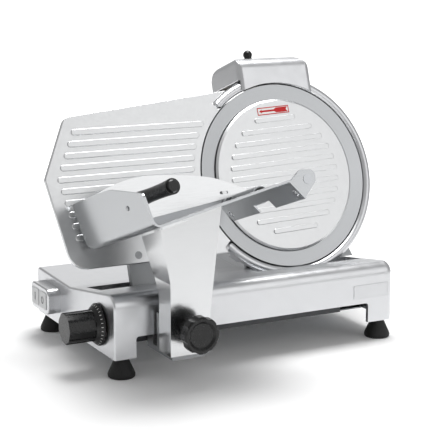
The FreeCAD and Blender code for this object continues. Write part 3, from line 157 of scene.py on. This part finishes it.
def new_piece(name, mesh_maker, material, body):
    """Object at the origin with a mesh filled by the maker, riding on a body."""
    mesh = bpy.data.meshes.new(name)
    work = bmesh.new()
    mesh_maker(work)
    bmesh.ops.remove_doubles(work, verts=work.verts, dist=1e-7)
    bmesh.ops.recalc_face_normals(work, faces=work.faces)
    work.to_mesh(mesh)
    work.free()
    piece = bpy.data.objects.new(name, mesh)
    bpy.context.scene.collection.objects.link(piece)
    mesh.materials.append(material)
    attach(piece, body)
    return piece


def prism(work, points, low, high, place):
    """Closed prism over (x, y) points between two heights, set in place by a matrix."""
    bottom = [work.verts.new(place @ Vector((x, y, low))) for x, y in points]
    top = [work.verts.new(place @ Vector((x, y, high))) for x, y in points]
    work.faces.new(list(reversed(bottom)))
    work.faces.new(top)
    count = len(points)
    for i in range(count):
        j = (i + 1) % count
        work.faces.new((bottom[i], bottom[j], top[j], top[i]))


def node_tree(name, sockets):
    """Geometry Nodes tree with its named inputs and one geometry output."""
    tree = bpy.data.node_groups.new(name, "GeometryNodeTree")
    tree.is_modifier = True
    for label, kind in sockets:
        tree.interface.new_socket(label, in_out="INPUT", socket_type=kind)
    tree.interface.new_socket("Geometry", in_out="OUTPUT", socket_type="NodeSocketGeometry")
    return tree, put(tree, "NodeGroupInput").outputs


def finish_tree(tree, instances, material):
    """Ends a tree: real geometry with its material."""
    real = put(tree, "GeometryNodeRealizeInstances", {0: instances})
    inked = put(tree, "GeometryNodeSetMaterial", {0: real.outputs[0], "Material": material})
    put(tree, "NodeGroupOutput", {0: inked.outputs[0]})


def plain_mesh_from_nodes(name, tree, inputs):
    """Evaluates a Geometry Nodes tree once and returns its result as a plain object."""
    carrier = bpy.data.objects.new(name, bpy.data.meshes.new(name + "_seed"))
    bpy.context.scene.collection.objects.link(carrier)
    modifier = carrier.modifiers.new("nodes", "NODES")
    modifier.node_group = tree
    identifiers = {item.name: item.identifier for item in tree.interface.items_tree if item.in_out == "INPUT"}
    for label, value in inputs.items():
        modifier[identifiers[label]] = value
    bpy.context.view_layer.update()
    evaluation = bpy.context.evaluated_depsgraph_get()
    result = carrier.evaluated_get(evaluation)
    mesh = bpy.data.meshes.new_from_object(result, preserve_all_data_layers=True, depsgraph=evaluation)
    carrier.modifiers.remove(modifier)
    carrier.data = mesh
    return carrier


# Finishes


def start_material(name):
    """Empty material with its shader and the place of the shaded point."""
    material = bpy.data.materials.new(name)
    material.use_nodes = True
    tree = material.node_tree
    tree.nodes.clear()
    shader = put(tree, "ShaderNodeBsdfPrincipled")
    put(tree, "ShaderNodeOutputMaterial", {"Surface": shader.outputs[0]})
    place = put(tree, "ShaderNodeTexCoord").outputs["Object"]
    return material, tree, shader, place


def tone_and_gloss(tree, shader, shade, grain, colour, tone, roughness, spread):
    """Colour that darkens with one pattern and gloss that changes with another."""
    base = linear(colour)
    dark = tuple(value * (1 - tone) for value in base[:3]) + (1.0,)
    mixed = put(tree, "ShaderNodeMix", {MIX_FACTOR: shade, MIX_A: dark, MIX_B: base}, data_type="RGBA")
    gloss = put(tree, "ShaderNodeMapRange", {
        "Value": grain, "From Min": NOISE_LOW, "From Max": NOISE_HIGH,
        "To Min": roughness - spread, "To Max": roughness + spread,
    })
    tree.links.new(mixed.outputs[MIX_COLOUR], shader.inputs["Base Color"])
    tree.links.new(gloss.outputs[0], shader.inputs["Roughness"])


def metal(
    name, colour, roughness, grain_mm,
    spread=0.05, tone=0.06, stretch=(1, 1, 1), relief_mm=0.0, detail=2.0,
):
    """Bare metal with a directional or even grain, slightly uneven in tone and gloss."""
    material, tree, shader, place = start_material(name)
    scaled = put(tree, "ShaderNodeMapping", {0: place, "Scale": stretch})
    grain = put(tree, "ShaderNodeTexNoise", {
        0: scaled.outputs[0], "Scale": 1000 / grain_mm, "Detail": detail,
    })
    # Broad patches, about 45 mm across.
    patches = put(tree, "ShaderNodeTexNoise", {0: place, "Scale": 22.0, "Detail": 3.0})
    tone_and_gloss(tree, shader, patches.outputs[0], grain.outputs[0], colour, tone, roughness, spread)
    if relief_mm:
        relief = put(tree, "ShaderNodeBump", {
            "Strength": 0.25, "Distance": relief_mm / 1000, "Height": grain.outputs[0],
        })
        tree.links.new(relief.outputs[0], shader.inputs["Normal"])
    shader.inputs["Metallic"].default_value = 1.0
    return material


def plastic(name, colour, roughness, grain_mm, relief_mm, tone=0.15, spread=0.06):
    """Moulded plastic, rubber or paint: a fine even texture and small changes of gloss."""
    material, tree, shader, place = start_material(name)
    grain = put(tree, "ShaderNodeTexNoise", {0: place, "Scale": 1000 / grain_mm, "Detail": 5.0})
    # Broad patches, about 33 mm across.
    patches = put(tree, "ShaderNodeTexNoise", {0: place, "Scale": 30.0, "Detail": 2.0})
    tone_and_gloss(tree, shader, patches.outputs[0], grain.outputs[0], colour, tone, roughness, spread)
    relief = put(tree, "ShaderNodeBump", {
        "Strength": 0.3, "Distance": relief_mm / 1000, "Height": grain.outputs[0],
    })
    tree.links.new(relief.outputs[0], shader.inputs["Normal"])
    shader.inputs["IOR"].default_value = 1.5
    return material


def ground_blade_steel(colour):
    """Hardened steel ground while it spins: fine rings of tone and gloss round the blade's axis."""
    material, tree, shader, place = start_material("ground_blade_steel")
    upright = (math.radians(90) - LEAN, 0, 0)
    centred = put(tree, "ShaderNodeMapping", {
        0: place, "Location": BLADE_CENTRE, "Rotation": upright,
    }, vector_type="TEXTURE")
    split = put(tree, "ShaderNodeSeparateXYZ", {0: centred.outputs[0]})
    across, up = split.outputs[0], split.outputs[1]
    flat = put(tree, "ShaderNodeCombineXYZ", {0: across, 1: up})
    radius = put(tree, "ShaderNodeVectorMath", {0: flat.outputs[0]}, operation="LENGTH")
    angle = put(tree, "ShaderNodeMath", {0: up, 1: across}, operation="ARCTAN2")
    # Along a ring the pattern hardly changes: one turn moves it by 5 mm.
    along = put(tree, "ShaderNodeMath", {0: angle.outputs[0], 1: 0.0008}, operation="MULTIPLY")
    rings = put(tree, "ShaderNodeCombineXYZ", {0: radius.outputs["Value"], 1: along.outputs[0]})
    # Real grinding rings are 0.1 mm apart; drawn 1.2 mm apart, 830 to the metre, so that they show.
    grain = put(tree, "ShaderNodeTexNoise", {0: rings.outputs[0], "Scale": 830.0, "Detail": 3.0})
    tone_and_gloss(tree, shader, grain.outputs[0], grain.outputs[0], colour, 0.06, 0.34, 0.04)
    shader.inputs["Metallic"].default_value = 1.0
    shader.inputs["Anisotropic"].default_value = 0.4
    return material


def galvanised_sheet():
    """Zinc coated steel sheet: pale crystals a few millimetres wide, dull and a little blue."""
    material, tree, shader, place = start_material("galvanised_sheet")
    crystal_mm = 6.25
    crystal = put(tree, "ShaderNodeTexVoronoi", {0: place, "Scale": 1000 / crystal_mm})
    tint = put(tree, "ShaderNodeSeparateColor", {0: crystal.outputs["Color"]})
    mixed = put(tree, "ShaderNodeMix", {
        MIX_FACTOR: tint.outputs[0], MIX_A: linear("#9DA1A5"), MIX_B: linear("#B4B8BC"),
    }, data_type="RGBA")
    gloss = put(tree, "ShaderNodeMapRange", {"Value": tint.outputs[1], "To Min": 0.38, "To Max": 0.55})
    tree.links.new(mixed.outputs[MIX_COLOUR], shader.inputs["Base Color"])
    tree.links.new(gloss.outputs[0], shader.inputs["Roughness"])
    shader.inputs["Metallic"].default_value = 1.0
    return material


def grinding_stone():
    """Bonded aluminium oxide: coarse matt grit with dark pores."""
    material, tree, shader, place = start_material("aluminium_oxide_stone")
    # Real grains are 0.2 mm wide; drawn 0.7 mm wide, 1400 to the metre, so that they show.
    grit = put(tree, "ShaderNodeTexVoronoi", {0: place, "Scale": 1400.0})
    distance = grit.outputs["Distance"]
    pores = put(tree, "ShaderNodeMapRange", {"Value": distance, "From Min": 0.1, "From Max": 0.7})
    mixed = put(tree, "ShaderNodeMix", {
        MIX_FACTOR: pores.outputs[0], MIX_A: linear("#A39C90"), MIX_B: linear("#6F695F"),
    }, data_type="RGBA")
    relief = put(tree, "ShaderNodeBump", {"Strength": 0.7, "Distance": 0.0002, "Height": distance})
    tree.links.new(mixed.outputs[MIX_COLOUR], shader.inputs["Base Color"])
    tree.links.new(relief.outputs[0], shader.inputs["Normal"])
    shader.inputs["Roughness"].default_value = 0.92
    return material


# Sizes and colours a user would change


class SlicerFinishSettings(bpy.types.PropertyGroup):
    casting_colour: StringProperty(
        name="Casting", description="Hex colour of the polished castings", default="#DADBDD",
    )
    sheet_colour: StringProperty(
        name="Sheet", description="Hex colour of the folded sheet parts", default="#E0E1E2",
    )
    # The tray's default is darker than the sheet's: painted shade for the dim room that its tall wall
    # mirrors.
    tray_shaded_colour: StringProperty(
        name="Tray", description="Hex colour of the tray's sheet", default="#BFC1C3",
    )
    plate_colour: StringProperty(
        name="Plates", description="Hex colour of gauge plate and cover disc", default="#DFE0E1",
    )
    blade_colour: StringProperty(
        name="Blade", description="Hex colour of the blade's steel", default="#C2C4C6",
    )
    plastic_colour: StringProperty(
        name="Black parts", description="Hex colour of the knobs and handle", default="#0C0C0D",
    )


class SlicerMarkingSettings(bpy.types.PropertyGroup):
    dial_marks: IntProperty(
        name="Dial marks", description="Graduations round the dial", default=30, min=6,
    )
    mark_length: FloatProperty(
        name="Mark length", description="Length of a graduation", default=0.0026, unit="LENGTH",
    )
    mark_width: FloatProperty(
        name="Mark width", description="Width of a graduation", default=0.0007, unit="LENGTH",
    )
    bead_count: IntProperty(
        name="Beads", description="Number of beads across the tray's floor", default=7, min=1,
    )
    bead_pitch: FloatProperty(
        name="Bead pitch", description="Distance between the beads", default=0.0225, unit="LENGTH",
    )
    bead_width: FloatProperty(
        name="Bead width", description="Width of a bead", default=0.009, unit="LENGTH",
    )
    bead_rise: FloatProperty(
        name="Bead rise", description="Height of a bead", default=0.0006, unit="LENGTH",
    )


class SlicerStageSettings(bpy.types.PropertyGroup):
    camera_place: FloatVectorProperty(
        name="Camera", description="Where the camera stands",
        default=(-0.80725, -1.503462, 0.510), unit="LENGTH",
    )
    focal_length: FloatProperty(
        name="Lens", description="Focal length in millimetres", default=111.43, unit="CAMERA",
    )
    floor_size: FloatProperty(
        name="Floor", description="Side of the floor", default=60.0, unit="LENGTH",
    )
    top_power: FloatProperty(
        name="Top light", description="Power of the overhead light in watts", default=44.0, unit="POWER",
    )
    front_power: FloatProperty(
        name="Front light", description="Power of the front light in watts", default=8.0, unit="POWER",
    )
    back_power: FloatProperty(
        name="Back light", description="Power of the rear light in watts", default=5.0, unit="POWER",
    )
    sky: FloatProperty(
        name="Sky", description="Strength of the even light from all sides", default=0.42,
    )


# Operators


class SLICER_OT_finishes(bpy.types.Operator):
    """Gives each CAD piece the finish of the real one"""

    bl_idname = "slicer.finishes"
    bl_label = "Finishes"

    def execute(self, context):
        chosen = context.scene.slicer_finishes
        finishes = {**self.metals(chosen), **self.others(chosen)}
        missing = sorted(set(NODES) - set(finishes))
        if missing:
            raise RuntimeError("no finish for " + ", ".join(missing))
        for name, material in finishes.items():
            mesh = NODES[name].data
            mesh.materials.clear()
            mesh.materials.append(material)
        return {"FINISHED"}

    def metals(self, chosen):
        """Finishes of the bare metal pieces."""
        # Real brush lines, blasting grain, turning marks and pores are 0.1 to 0.3 mm wide; they are drawn 0.6
        # to 1.5 mm wide so that they show. Grains of 4 to 12 mm are the soft waves of polishing and etching.
        # Polished casting: pale blurred mirror, even all over, with broad soft highlights on round edges.
        casting = metal(
            "polished_cast_aluminium", chosen.casting_colour, 0.33, 12.0, spread=0.03, tone=0.03, detail=0.0,
        )
        # Plate of the same silver as the castings, told from them only by its thin raised border.
        blank = metal("blank_aluminium_plate", "#D6D7D9", 0.33, 12.0, spread=0.03, tone=0.03, detail=0.0)
        # Blasted casting: dull mid grey with a fine sandy grain.
        rough_casting = metal("blasted_cast_aluminium", "#A7A9AB", 0.5, 1.5, relief_mm=0.08)
        # Brushed and anodised sheet: faint streaks along the machine over slightly blurred reflections.
        sheet = metal(
            "brushed_anodised_aluminium", chosen.sheet_colour, 0.2, 1.4,
            spread=0.03, tone=0.04, stretch=(0.06, 1, 1), detail=1.0,
        )
        # The tray's brushed sheet is darker than the arm's: painted shade that stands in for the dim room
        # beside it, which its tall wall mirrors.
        tray_sheet = metal(
            "brushed_tray_sheet", chosen.tray_shaded_colour, 0.24, 1.4,
            spread=0.03, tone=0.04, stretch=(0.06, 1, 1), detail=1.0,
        )
        # Etched and anodised plate: bright silk sheen that blurs what it reflects.
        plate = metal(
            "satin_anodised_aluminium", chosen.plate_colour, 0.34, 4.0,
            spread=0.03, tone=0.03, relief_mm=0.001, detail=1.0,
        )
        # Ground bar: near mirror that shows long bright lines.
        bar = metal(
            "ground_steel_bar", "#BFC1C4", 0.2, 1.0, spread=0.04, stretch=(1, 1, 0.2), relief_mm=0.004,
        )
        # Turned steel: grey with a fine even grain.
        turned_steel = metal("turned_steel", "#A9ABAE", 0.32, 0.8, relief_mm=0.01)
        # Zinc plating: grey, slightly milky.
        zinc = metal("zinc_plated_steel", "#A4A6A8", 0.36, 1.0, relief_mm=0.01)
        # Sintered bronze: dull brown yellow with fine pores.
        bronze = metal("sintered_bronze", "#A88A58", 0.45, 0.6, relief_mm=0.03, tone=0.2)
        # Nickel plating on a smooth casting: bright, with slightly blurred reflections.
        nickel = metal(
            "nickel_plated_zinc", "#D6D7D9", 0.24, 6.0, spread=0.03, relief_mm=0.001, detail=1.0,
        )
        return {
            "base_casting": casting, "ring_guard": casting, "sharpener_cap": casting,
            "blade_support": rough_casting, "motor_front_shield": rough_casting, "gauge_arm": rough_casting,
            "carriage_block": rough_casting, "sharpener_head": rough_casting,
            "blade_pulley": rough_casting, "motor_pulley": rough_casting,
            "tray": tray_sheet, "tray_pedestal": sheet, "pusher_plate": sheet, "rear_cover": sheet,
            "gauge_plate": plate, "blade_cover_disc": plate, "blank_plate": blank,
            "push_rod": bar, "carriage_rod": bar, "bearings": bar,
            "blade_shaft": turned_steel, "motor_rotor": turned_steel, "dial_cam": turned_steel,
            "gauge_slide_rod": turned_steel, "carriage_roller": turned_steel, "pusher_sleeve": turned_steel,
            "pusher_grip_strip": turned_steel, "sharpener_post": turned_steel,
            "grind_spindle": turned_steel, "deburr_spindle": turned_steel,
            "bottom_plate_screws": zinc, "foot_screws": zinc, "blade_screws": zinc,
            "ring_guard_screws": zinc, "motor_screws": zinc, "gauge_screws": zinc, "tray_screws": zinc,
            "dial_bush": bronze, "carriage_bushings": bronze, "switch_housing": nickel,
            "blade": ground_blade_steel(chosen.blade_colour), "bottom_plate": galvanised_sheet(),
        }

    def others(self, chosen):
        """Finishes of the plastic, rubber, painted and stone pieces."""
        # Real moulding and film textures are 0.1 to 0.5 mm wide; they are drawn 1.2 to 3 mm wide so that they
        # show. The enamels' orange peel is drawn at its real 1.6 mm.
        # Moulded phenolic: near black with clear highlights on its edges.
        black = plastic("black_phenolic", chosen.plastic_colour, 0.3, 2.5, 0.004)
        # Moulded nitrile rubber: dull black without clear highlights.
        rubber = plastic("black_nitrile_rubber", "#161616", 0.62, 1.2, 0.05, spread=0.1)
        # Sprayed enamel: dark grey, half gloss, with a slight orange peel.
        enamel = plastic("charcoal_enamel", "#3E4043", 0.38, 1.6, 0.03)
        # Dipped enamel of the motor: nearly black, half gloss.
        motor = plastic("motor_enamel", "#1B1D20", 0.4, 1.6, 0.04)
        # Moulded ABS: pale grey, even, half gloss.
        pale = plastic("pale_abs", "#D2D3D4", 0.34, 1.5, 0.003, tone=0.04)
        # Printed film: the label's white ground with a soft gloss.
        film = plastic("printed_film", "#F1F1EF", 0.4, 3.0, 0.003, tone=0.03)
        stone = grinding_stone()
        return {
            "dial_knob": black, "lock_knob": black, "pusher_grip": black, "grip_bolt": black,
            "pusher_bush": black, "sharpener_knob": black, "cover_tie_rod": black, "cable_gland": black,
            "feet": rubber, "guide_bar_buffer": rubber, "drive_belt": rubber,
            "guide_bar": enamel, "motor_case": motor, "on_button": pale, "off_button": pale,
            "arrow_label": film, "grind_stone": stone, "deburr_stone": stone,
        }


class SLICER_OT_arrow(bpy.types.Operator):
    """Prints the red frame and the red turning arrow on the cover disc's label"""

    bl_idname = "slicer.arrow"
    bl_label = "Arrow label"

    def execute(self, context):
        # Printing ink: solid red with the film's soft gloss, its texture drawn as coarse as the film's.
        red = plastic("red_printing_ink", "#C40007", 0.4, 3.0, 0.002, tone=0.08)
        piece = new_piece("arrow_print", self.draw_print, red, "frame")
        return {"FINISHED"}

    def draw_print(self, work):
        """Four bars of the frame and the arrow, which points left."""
        place = blade_frame() @ Matrix.Rotation(LABEL_TURN, 4, "Z") @ Matrix.Translation(LABEL_FACE)
        half_x, half_y, line = 0.0248, 0.0052, 0.0012
        bars = [
            (-half_x, half_x, half_y - line, half_y), (-half_x, half_x, -half_y, line - half_y),
            (-half_x, line - half_x, line - half_y, half_y - line),
            (half_x - line, half_x, line - half_y, half_y - line),
        ]
        for x0, x1, y0, y1 in bars:
            prism(work, [(x0, y0), (x1, y0), (x1, y1), (x0, y1)], 0, PRINT_THICKNESS, place)
        tip, barb, neck, flare, notch, end = -0.0222, -0.0178, 0.0015, 0.0045, 0.0202, 0.0226
        shaft, head, tail = 0.0013, 0.0027, 0.0034
        lower = [(tip, 0), (barb, -head), (barb, -shaft), (neck, -shaft), (flare, -tail), (end, -tail)]
        upper = [(x, -y) for x, y in reversed(lower[1:])]
        prism(work, lower + [(notch, 0)] + upper, 0, PRINT_THICKNESS, place)


class SLICER_OT_dial(bpy.types.Operator):
    """Prints the graduations on the dial's sloping skirt"""

    bl_idname = "slicer.dial"
    bl_label = "Dial marks"

    def execute(self, context):
        sizes = context.scene.slicer_markings
        # Paint of the marks: dull white, slightly uneven, its texture drawn 2 mm wide so that it shows.
        white = plastic("white_filled_marks", "#E9E9E6", 0.45, 2.0, 0.003, tone=0.05)
        (inner, inner_along), (outer, outer_along) = SKIRT_INNER, SKIRT_OUTER
        slope = math.atan2(outer_along - inner_along, outer - inner)
        radius = outer - 0.5 * sizes.mark_length * math.cos(slope) - SKIRT_MARGIN
        along = inner_along + (radius - inner) * math.tan(slope)
        marks = plain_mesh_from_nodes("dial_graduations", self.marks_tree(), {
            "Count": sizes.dial_marks, "Radius": radius, "Length": sizes.mark_length,
            "Width": sizes.mark_width, "Slope": -slope, "Material": white,
        })
        centre = DIAL_CENTRE + Vector((along, 0, 0))
        marks.data.transform(Matrix.Translation(centre) @ Matrix.Rotation(math.radians(90), 4, "Y"))
        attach(marks, "dial")
        return {"FINISHED"}

    def marks_tree(self):
        """Thin bars that lean with the skirt, spread round a circle."""
        tree, given = node_tree("dial_graduations", (
            ("Count", "NodeSocketInt"), ("Radius", "NodeSocketFloat"), ("Length", "NodeSocketFloat"),
            ("Width", "NodeSocketFloat"), ("Slope", "NodeSocketFloat"), ("Material", "NodeSocketMaterial"),
        ))
        ring = put(tree, "GeometryNodeMeshCircle", {"Vertices": given["Count"], "Radius": given["Radius"]})
        size = put(tree, "ShaderNodeCombineXYZ", {
            0: given["Length"], 1: given["Width"], 2: MARK_THICKNESS,
        })
        mark = put(tree, "GeometryNodeMeshCube", {"Size": size.outputs[0]})
        turn = put(tree, "ShaderNodeCombineXYZ", {1: given["Slope"]})
        leaning = put(tree, "GeometryNodeTransform", {
            "Geometry": mark.outputs[0], "Rotation": turn.outputs[0],
        })
        position = put(tree, "GeometryNodeInputPosition")
        facing = put(tree, "FunctionNodeAlignRotationToVector", {"Vector": position.outputs[0]}, axis="X")
        marks = put(tree, "GeometryNodeInstanceOnPoints", {
            "Points": ring.outputs[0], "Instance": leaning.outputs[0], "Rotation": facing.outputs[0],
        })
        finish_tree(tree, marks.outputs[0], given["Material"])
        return tree


class SLICER_OT_tray_beads(bpy.types.Operator):
    """Raises the low pressed beads that run from front to back over the tray's floor"""

    bl_idname = "slicer.tray_beads"
    bl_label = "Tray beads"

    def execute(self, context):
        sizes = context.scene.slicer_markings
        length = TRAY_FRONT - BEAD_BACK
        row_mesh = plain_mesh_from_nodes("tray_beads", self.beads_tree(), {
            "Count": sizes.bead_count, "Pitch": sizes.bead_pitch, "Length": length,
            "Width": sizes.bead_width, "Rise": sizes.bead_rise, "Material": NODES["tray"].data.materials[0],
        })
        first = Vector((BEAD_START, TRAY_SHEET, BEAD_BACK + length / 2))
        row_mesh.data.transform(tray_frame() @ Matrix.Translation(first))
        row_mesh.data.shade_smooth()
        row_mesh.data.set_sharp_from_angle(angle=BEAD_SHARP)
        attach(row_mesh, "carriage")
        return {"FINISHED"}

    def beads_tree(self):
        """Row of round bars, flattened so that their upper halves stand out of the sheet."""
        tree, given = node_tree("tray_beads", (
            ("Count", "NodeSocketInt"), ("Pitch", "NodeSocketFloat"), ("Length", "NodeSocketFloat"),
            ("Width", "NodeSocketFloat"), ("Rise", "NodeSocketFloat"), ("Material", "NodeSocketMaterial"),
        ))
        step = put(tree, "ShaderNodeCombineXYZ", {0: given["Pitch"]})
        row = put(tree, "GeometryNodeMeshLine", {"Count": given["Count"], "Offset": step.outputs[0]})
        half = put(tree, "ShaderNodeMath", {0: given["Width"], 1: 0.5}, operation="MULTIPLY")
        bar = put(tree, "GeometryNodeMeshCylinder", {
            "Vertices": BEAD_SIDES, "Radius": 1.0, "Depth": given["Length"],
        })
        flat = put(tree, "ShaderNodeCombineXYZ", {0: half.outputs[0], 1: given["Rise"], 2: 1.0})
        bead = put(tree, "GeometryNodeTransform", {"Geometry": bar.outputs[0], "Scale": flat.outputs[0]})
        beads = put(tree, "GeometryNodeInstanceOnPoints", {
            "Points": row.outputs[0], "Instance": bead.outputs[0],
        })
        finish_tree(tree, beads.outputs[0], given["Material"])
        return tree


def draw_bar(work, face):
    """Mark of the ON button: one upright bar."""
    long, wide = BAR_HALF
    prism(work, [(-long, -wide), (long, -wide), (long, wide), (-long, wide)], *PAINT_LAYER, face)


def draw_oval(work, face):
    """Mark of the OFF button: an oval ring."""
    x, y = OVAL_HALF
    for i in range(OVAL_STEPS):
        a, b = (2 * math.pi * k / OVAL_STEPS for k in (i, i + 1))
        corners = [
            (x * math.cos(a), y * math.sin(a)), (x * math.cos(b), y * math.sin(b)),
            ((x - OVAL_LINE) * math.cos(b), (y - OVAL_LINE) * math.sin(b)),
            ((x - OVAL_LINE) * math.cos(a), (y - OVAL_LINE) * math.sin(a)),
        ]
        prism(work, corners, *PAINT_LAYER, face)


class SLICER_OT_switch_marks(bpy.types.Operator):
    """Fills the raised marks of the two switch buttons with dark paint"""

    bl_idname = "slicer.switch_marks"
    bl_label = "Switch marks"

    def execute(self, context):
        # Marking paint: dull dark grey, its texture drawn 2 mm wide so that it shows.
        ink = plastic("dark_marking_paint", "#3A3C40", 0.45, 2.0, 0.003)
        for name, draw in (("on_button", draw_bar), ("off_button", draw_oval)):
            low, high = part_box(name)
            middle = (low + high) / 2
            front = Matrix.Translation((low.x, middle.y, middle.z))
            face = front @ Matrix.Rotation(math.radians(-90), 4, "Y")
            piece = new_piece(name + "_mark", partial(draw, face=face), ink, name)
        return {"FINISHED"}


class SLICER_OT_stage(bpy.types.Operator):
    """Builds the pale floor, the studio lights and the camera at the photograph's angle"""

    bl_idname = "slicer.stage"
    bl_label = "Studio"

    def execute(self, context):
        scene = context.scene
        sizes = scene.slicer_stage
        scene.view_settings.view_transform = "Standard"
        self.make_floor(scene, sizes)
        self.make_world(scene, sizes)
        for name, place, side, power in LIGHTS:
            self.make_light(scene, name, place, side, getattr(sizes, power))
        self.make_camera(scene, sizes)
        return {"FINISHED"}

    def make_camera(self, scene, sizes):
        """Camera that looks along the photograph's heading and drop."""
        camera = bpy.data.cameras.new("camera")
        camera.lens = sizes.focal_length
        camera.sensor_width = SENSOR_WIDTH_MM
        camera.clip_end = VIEW_END
        holder = bpy.data.objects.new("camera", camera)
        scene.collection.objects.link(holder)
        holder.location = sizes.camera_place
        level = math.cos(CAMERA_DROP)
        gaze = Vector((
            math.sin(CAMERA_HEADING) * level, math.cos(CAMERA_HEADING) * level, -math.sin(CAMERA_DROP),
        ))
        holder.rotation_euler = gaze.to_track_quat("-Z", "Y").to_euler()
        scene.camera = holder

    def make_floor(self, scene, sizes):
        """Plain pale floor that shows white where it is lit and keeps the soft shadow."""
        material = bpy.data.materials.new("studio_paper")
        material.use_nodes = True
        tree = material.node_tree
        tree.nodes.clear()
        paper = put(tree, "ShaderNodeBsdfDiffuse", {"Color": linear("#F4F4F4")})
        place = put(tree, "ShaderNodeTexCoord").outputs["Object"]
        away = put(tree, "ShaderNodeVectorMath", {0: place}, operation="LENGTH")
        # Far from the object the paper shows plain white; near it the soft shadow stays.
        (near, faint), (far, full) = GLOW_NEAR, GLOW_FAR
        strength = put(tree, "ShaderNodeMapRange", {
            "Value": away.outputs["Value"],
            "From Min": near, "From Max": far, "To Min": faint, "To Max": full,
        }, interpolation_type="SMOOTHSTEP")
        glow = put(tree, "ShaderNodeEmission", {"Color": WHITE, "Strength": strength.outputs[0]})
        both = put(tree, "ShaderNodeAddShader", {0: paper.outputs[0], 1: glow.outputs[0]})
        rays = put(tree, "ShaderNodeLightPath")
        mixed = put(tree, "ShaderNodeMixShader", {
            0: rays.outputs["Is Camera Ray"], 1: paper.outputs[0], 2: both.outputs[0],
        })
        put(tree, "ShaderNodeOutputMaterial", {"Surface": mixed.outputs[0]})
        mesh = bpy.data.meshes.new("floor")
        half = sizes.floor_size / 2
        corners = [(-half, -half, 0), (half, -half, 0), (half, half, 0), (-half, half, 0)]
        mesh.from_pydata(corners, [], [(0, 1, 2, 3)])
        mesh.materials.append(material)
        floor = bpy.data.objects.new("floor", mesh)
        scene.collection.objects.link(floor)

    def make_world(self, scene, sizes):
        """Even soft light, seen as white behind the object."""
        world = bpy.data.worlds.new("studio")
        world.use_nodes = True
        tree = world.node_tree
        tree.nodes.clear()
        soft = put(tree, "ShaderNodeBackground", {"Color": WHITE, "Strength": sizes.sky})
        white = put(tree, "ShaderNodeBackground", {"Color": WHITE, "Strength": 1.0})
        rays = put(tree, "ShaderNodeLightPath")
        mixed = put(tree, "ShaderNodeMixShader", {
            0: rays.outputs["Is Camera Ray"], 1: soft.outputs[0], 2: white.outputs[0],
        })
        put(tree, "ShaderNodeOutputWorld", {"Surface": mixed.outputs[0]})
        scene.world = world

    def make_light(self, scene, name, place, side, power):
        """Square soft box aimed at the middle of the object."""
        lamp = bpy.data.lights.new(name, "AREA")
        lamp.size = side
        lamp.energy = power
        holder = bpy.data.objects.new(name, lamp)
        scene.collection.objects.link(holder)
        holder.location = place
        holder.rotation_euler = (LIGHT_AIM - Vector(place)).to_track_quat("-Z", "Y").to_euler()


class SLICER_PT_panel(bpy.types.Panel):
    """Lists the slicer's steps and settings in the sidebar"""

    bl_label = "Meat slicer"
    bl_idname = "SLICER_PT_panel"
    bl_space_type = "VIEW_3D"
    bl_region_type = "UI"
    bl_category = "Meat slicer"

    def draw(self, context):
        for step in STEPS:
            self.layout.operator(step.bl_idname)
        for label in SETTINGS:
            group = getattr(context.scene, label)
            for setting in group.__annotations__:
                self.layout.prop(group, setting)


STEPS = (
    SLICER_OT_finishes, SLICER_OT_arrow, SLICER_OT_dial, SLICER_OT_tray_beads, SLICER_OT_switch_marks,
    SLICER_OT_stage,
)
SETTINGS = {
    "slicer_finishes": SlicerFinishSettings,
    "slicer_markings": SlicerMarkingSettings,
    "slicer_stage": SlicerStageSettings,
}


def register():
    for group in SETTINGS.values():
        bpy.utils.register_class(group)
    for step in STEPS + (SLICER_PT_panel,):
        bpy.utils.register_class(step)
    for label, group in SETTINGS.items():
        setattr(bpy.types.Scene, label, PointerProperty(type=group))


def unregister():
    for label in SETTINGS:
        delattr(bpy.types.Scene, label)
    for step in (SLICER_PT_panel,) + STEPS:
        bpy.utils.unregister_class(step)
    for group in SETTINGS.values():
        bpy.utils.unregister_class(group)


def main():
    register()
    bpy.ops.slicer.finishes()
    bpy.ops.slicer.arrow()
    bpy.ops.slicer.dial()
    bpy.ops.slicer.tray_beads()
    bpy.ops.slicer.switch_marks()
    bpy.ops.slicer.stage()


if __name__ == "__main__":
    main()
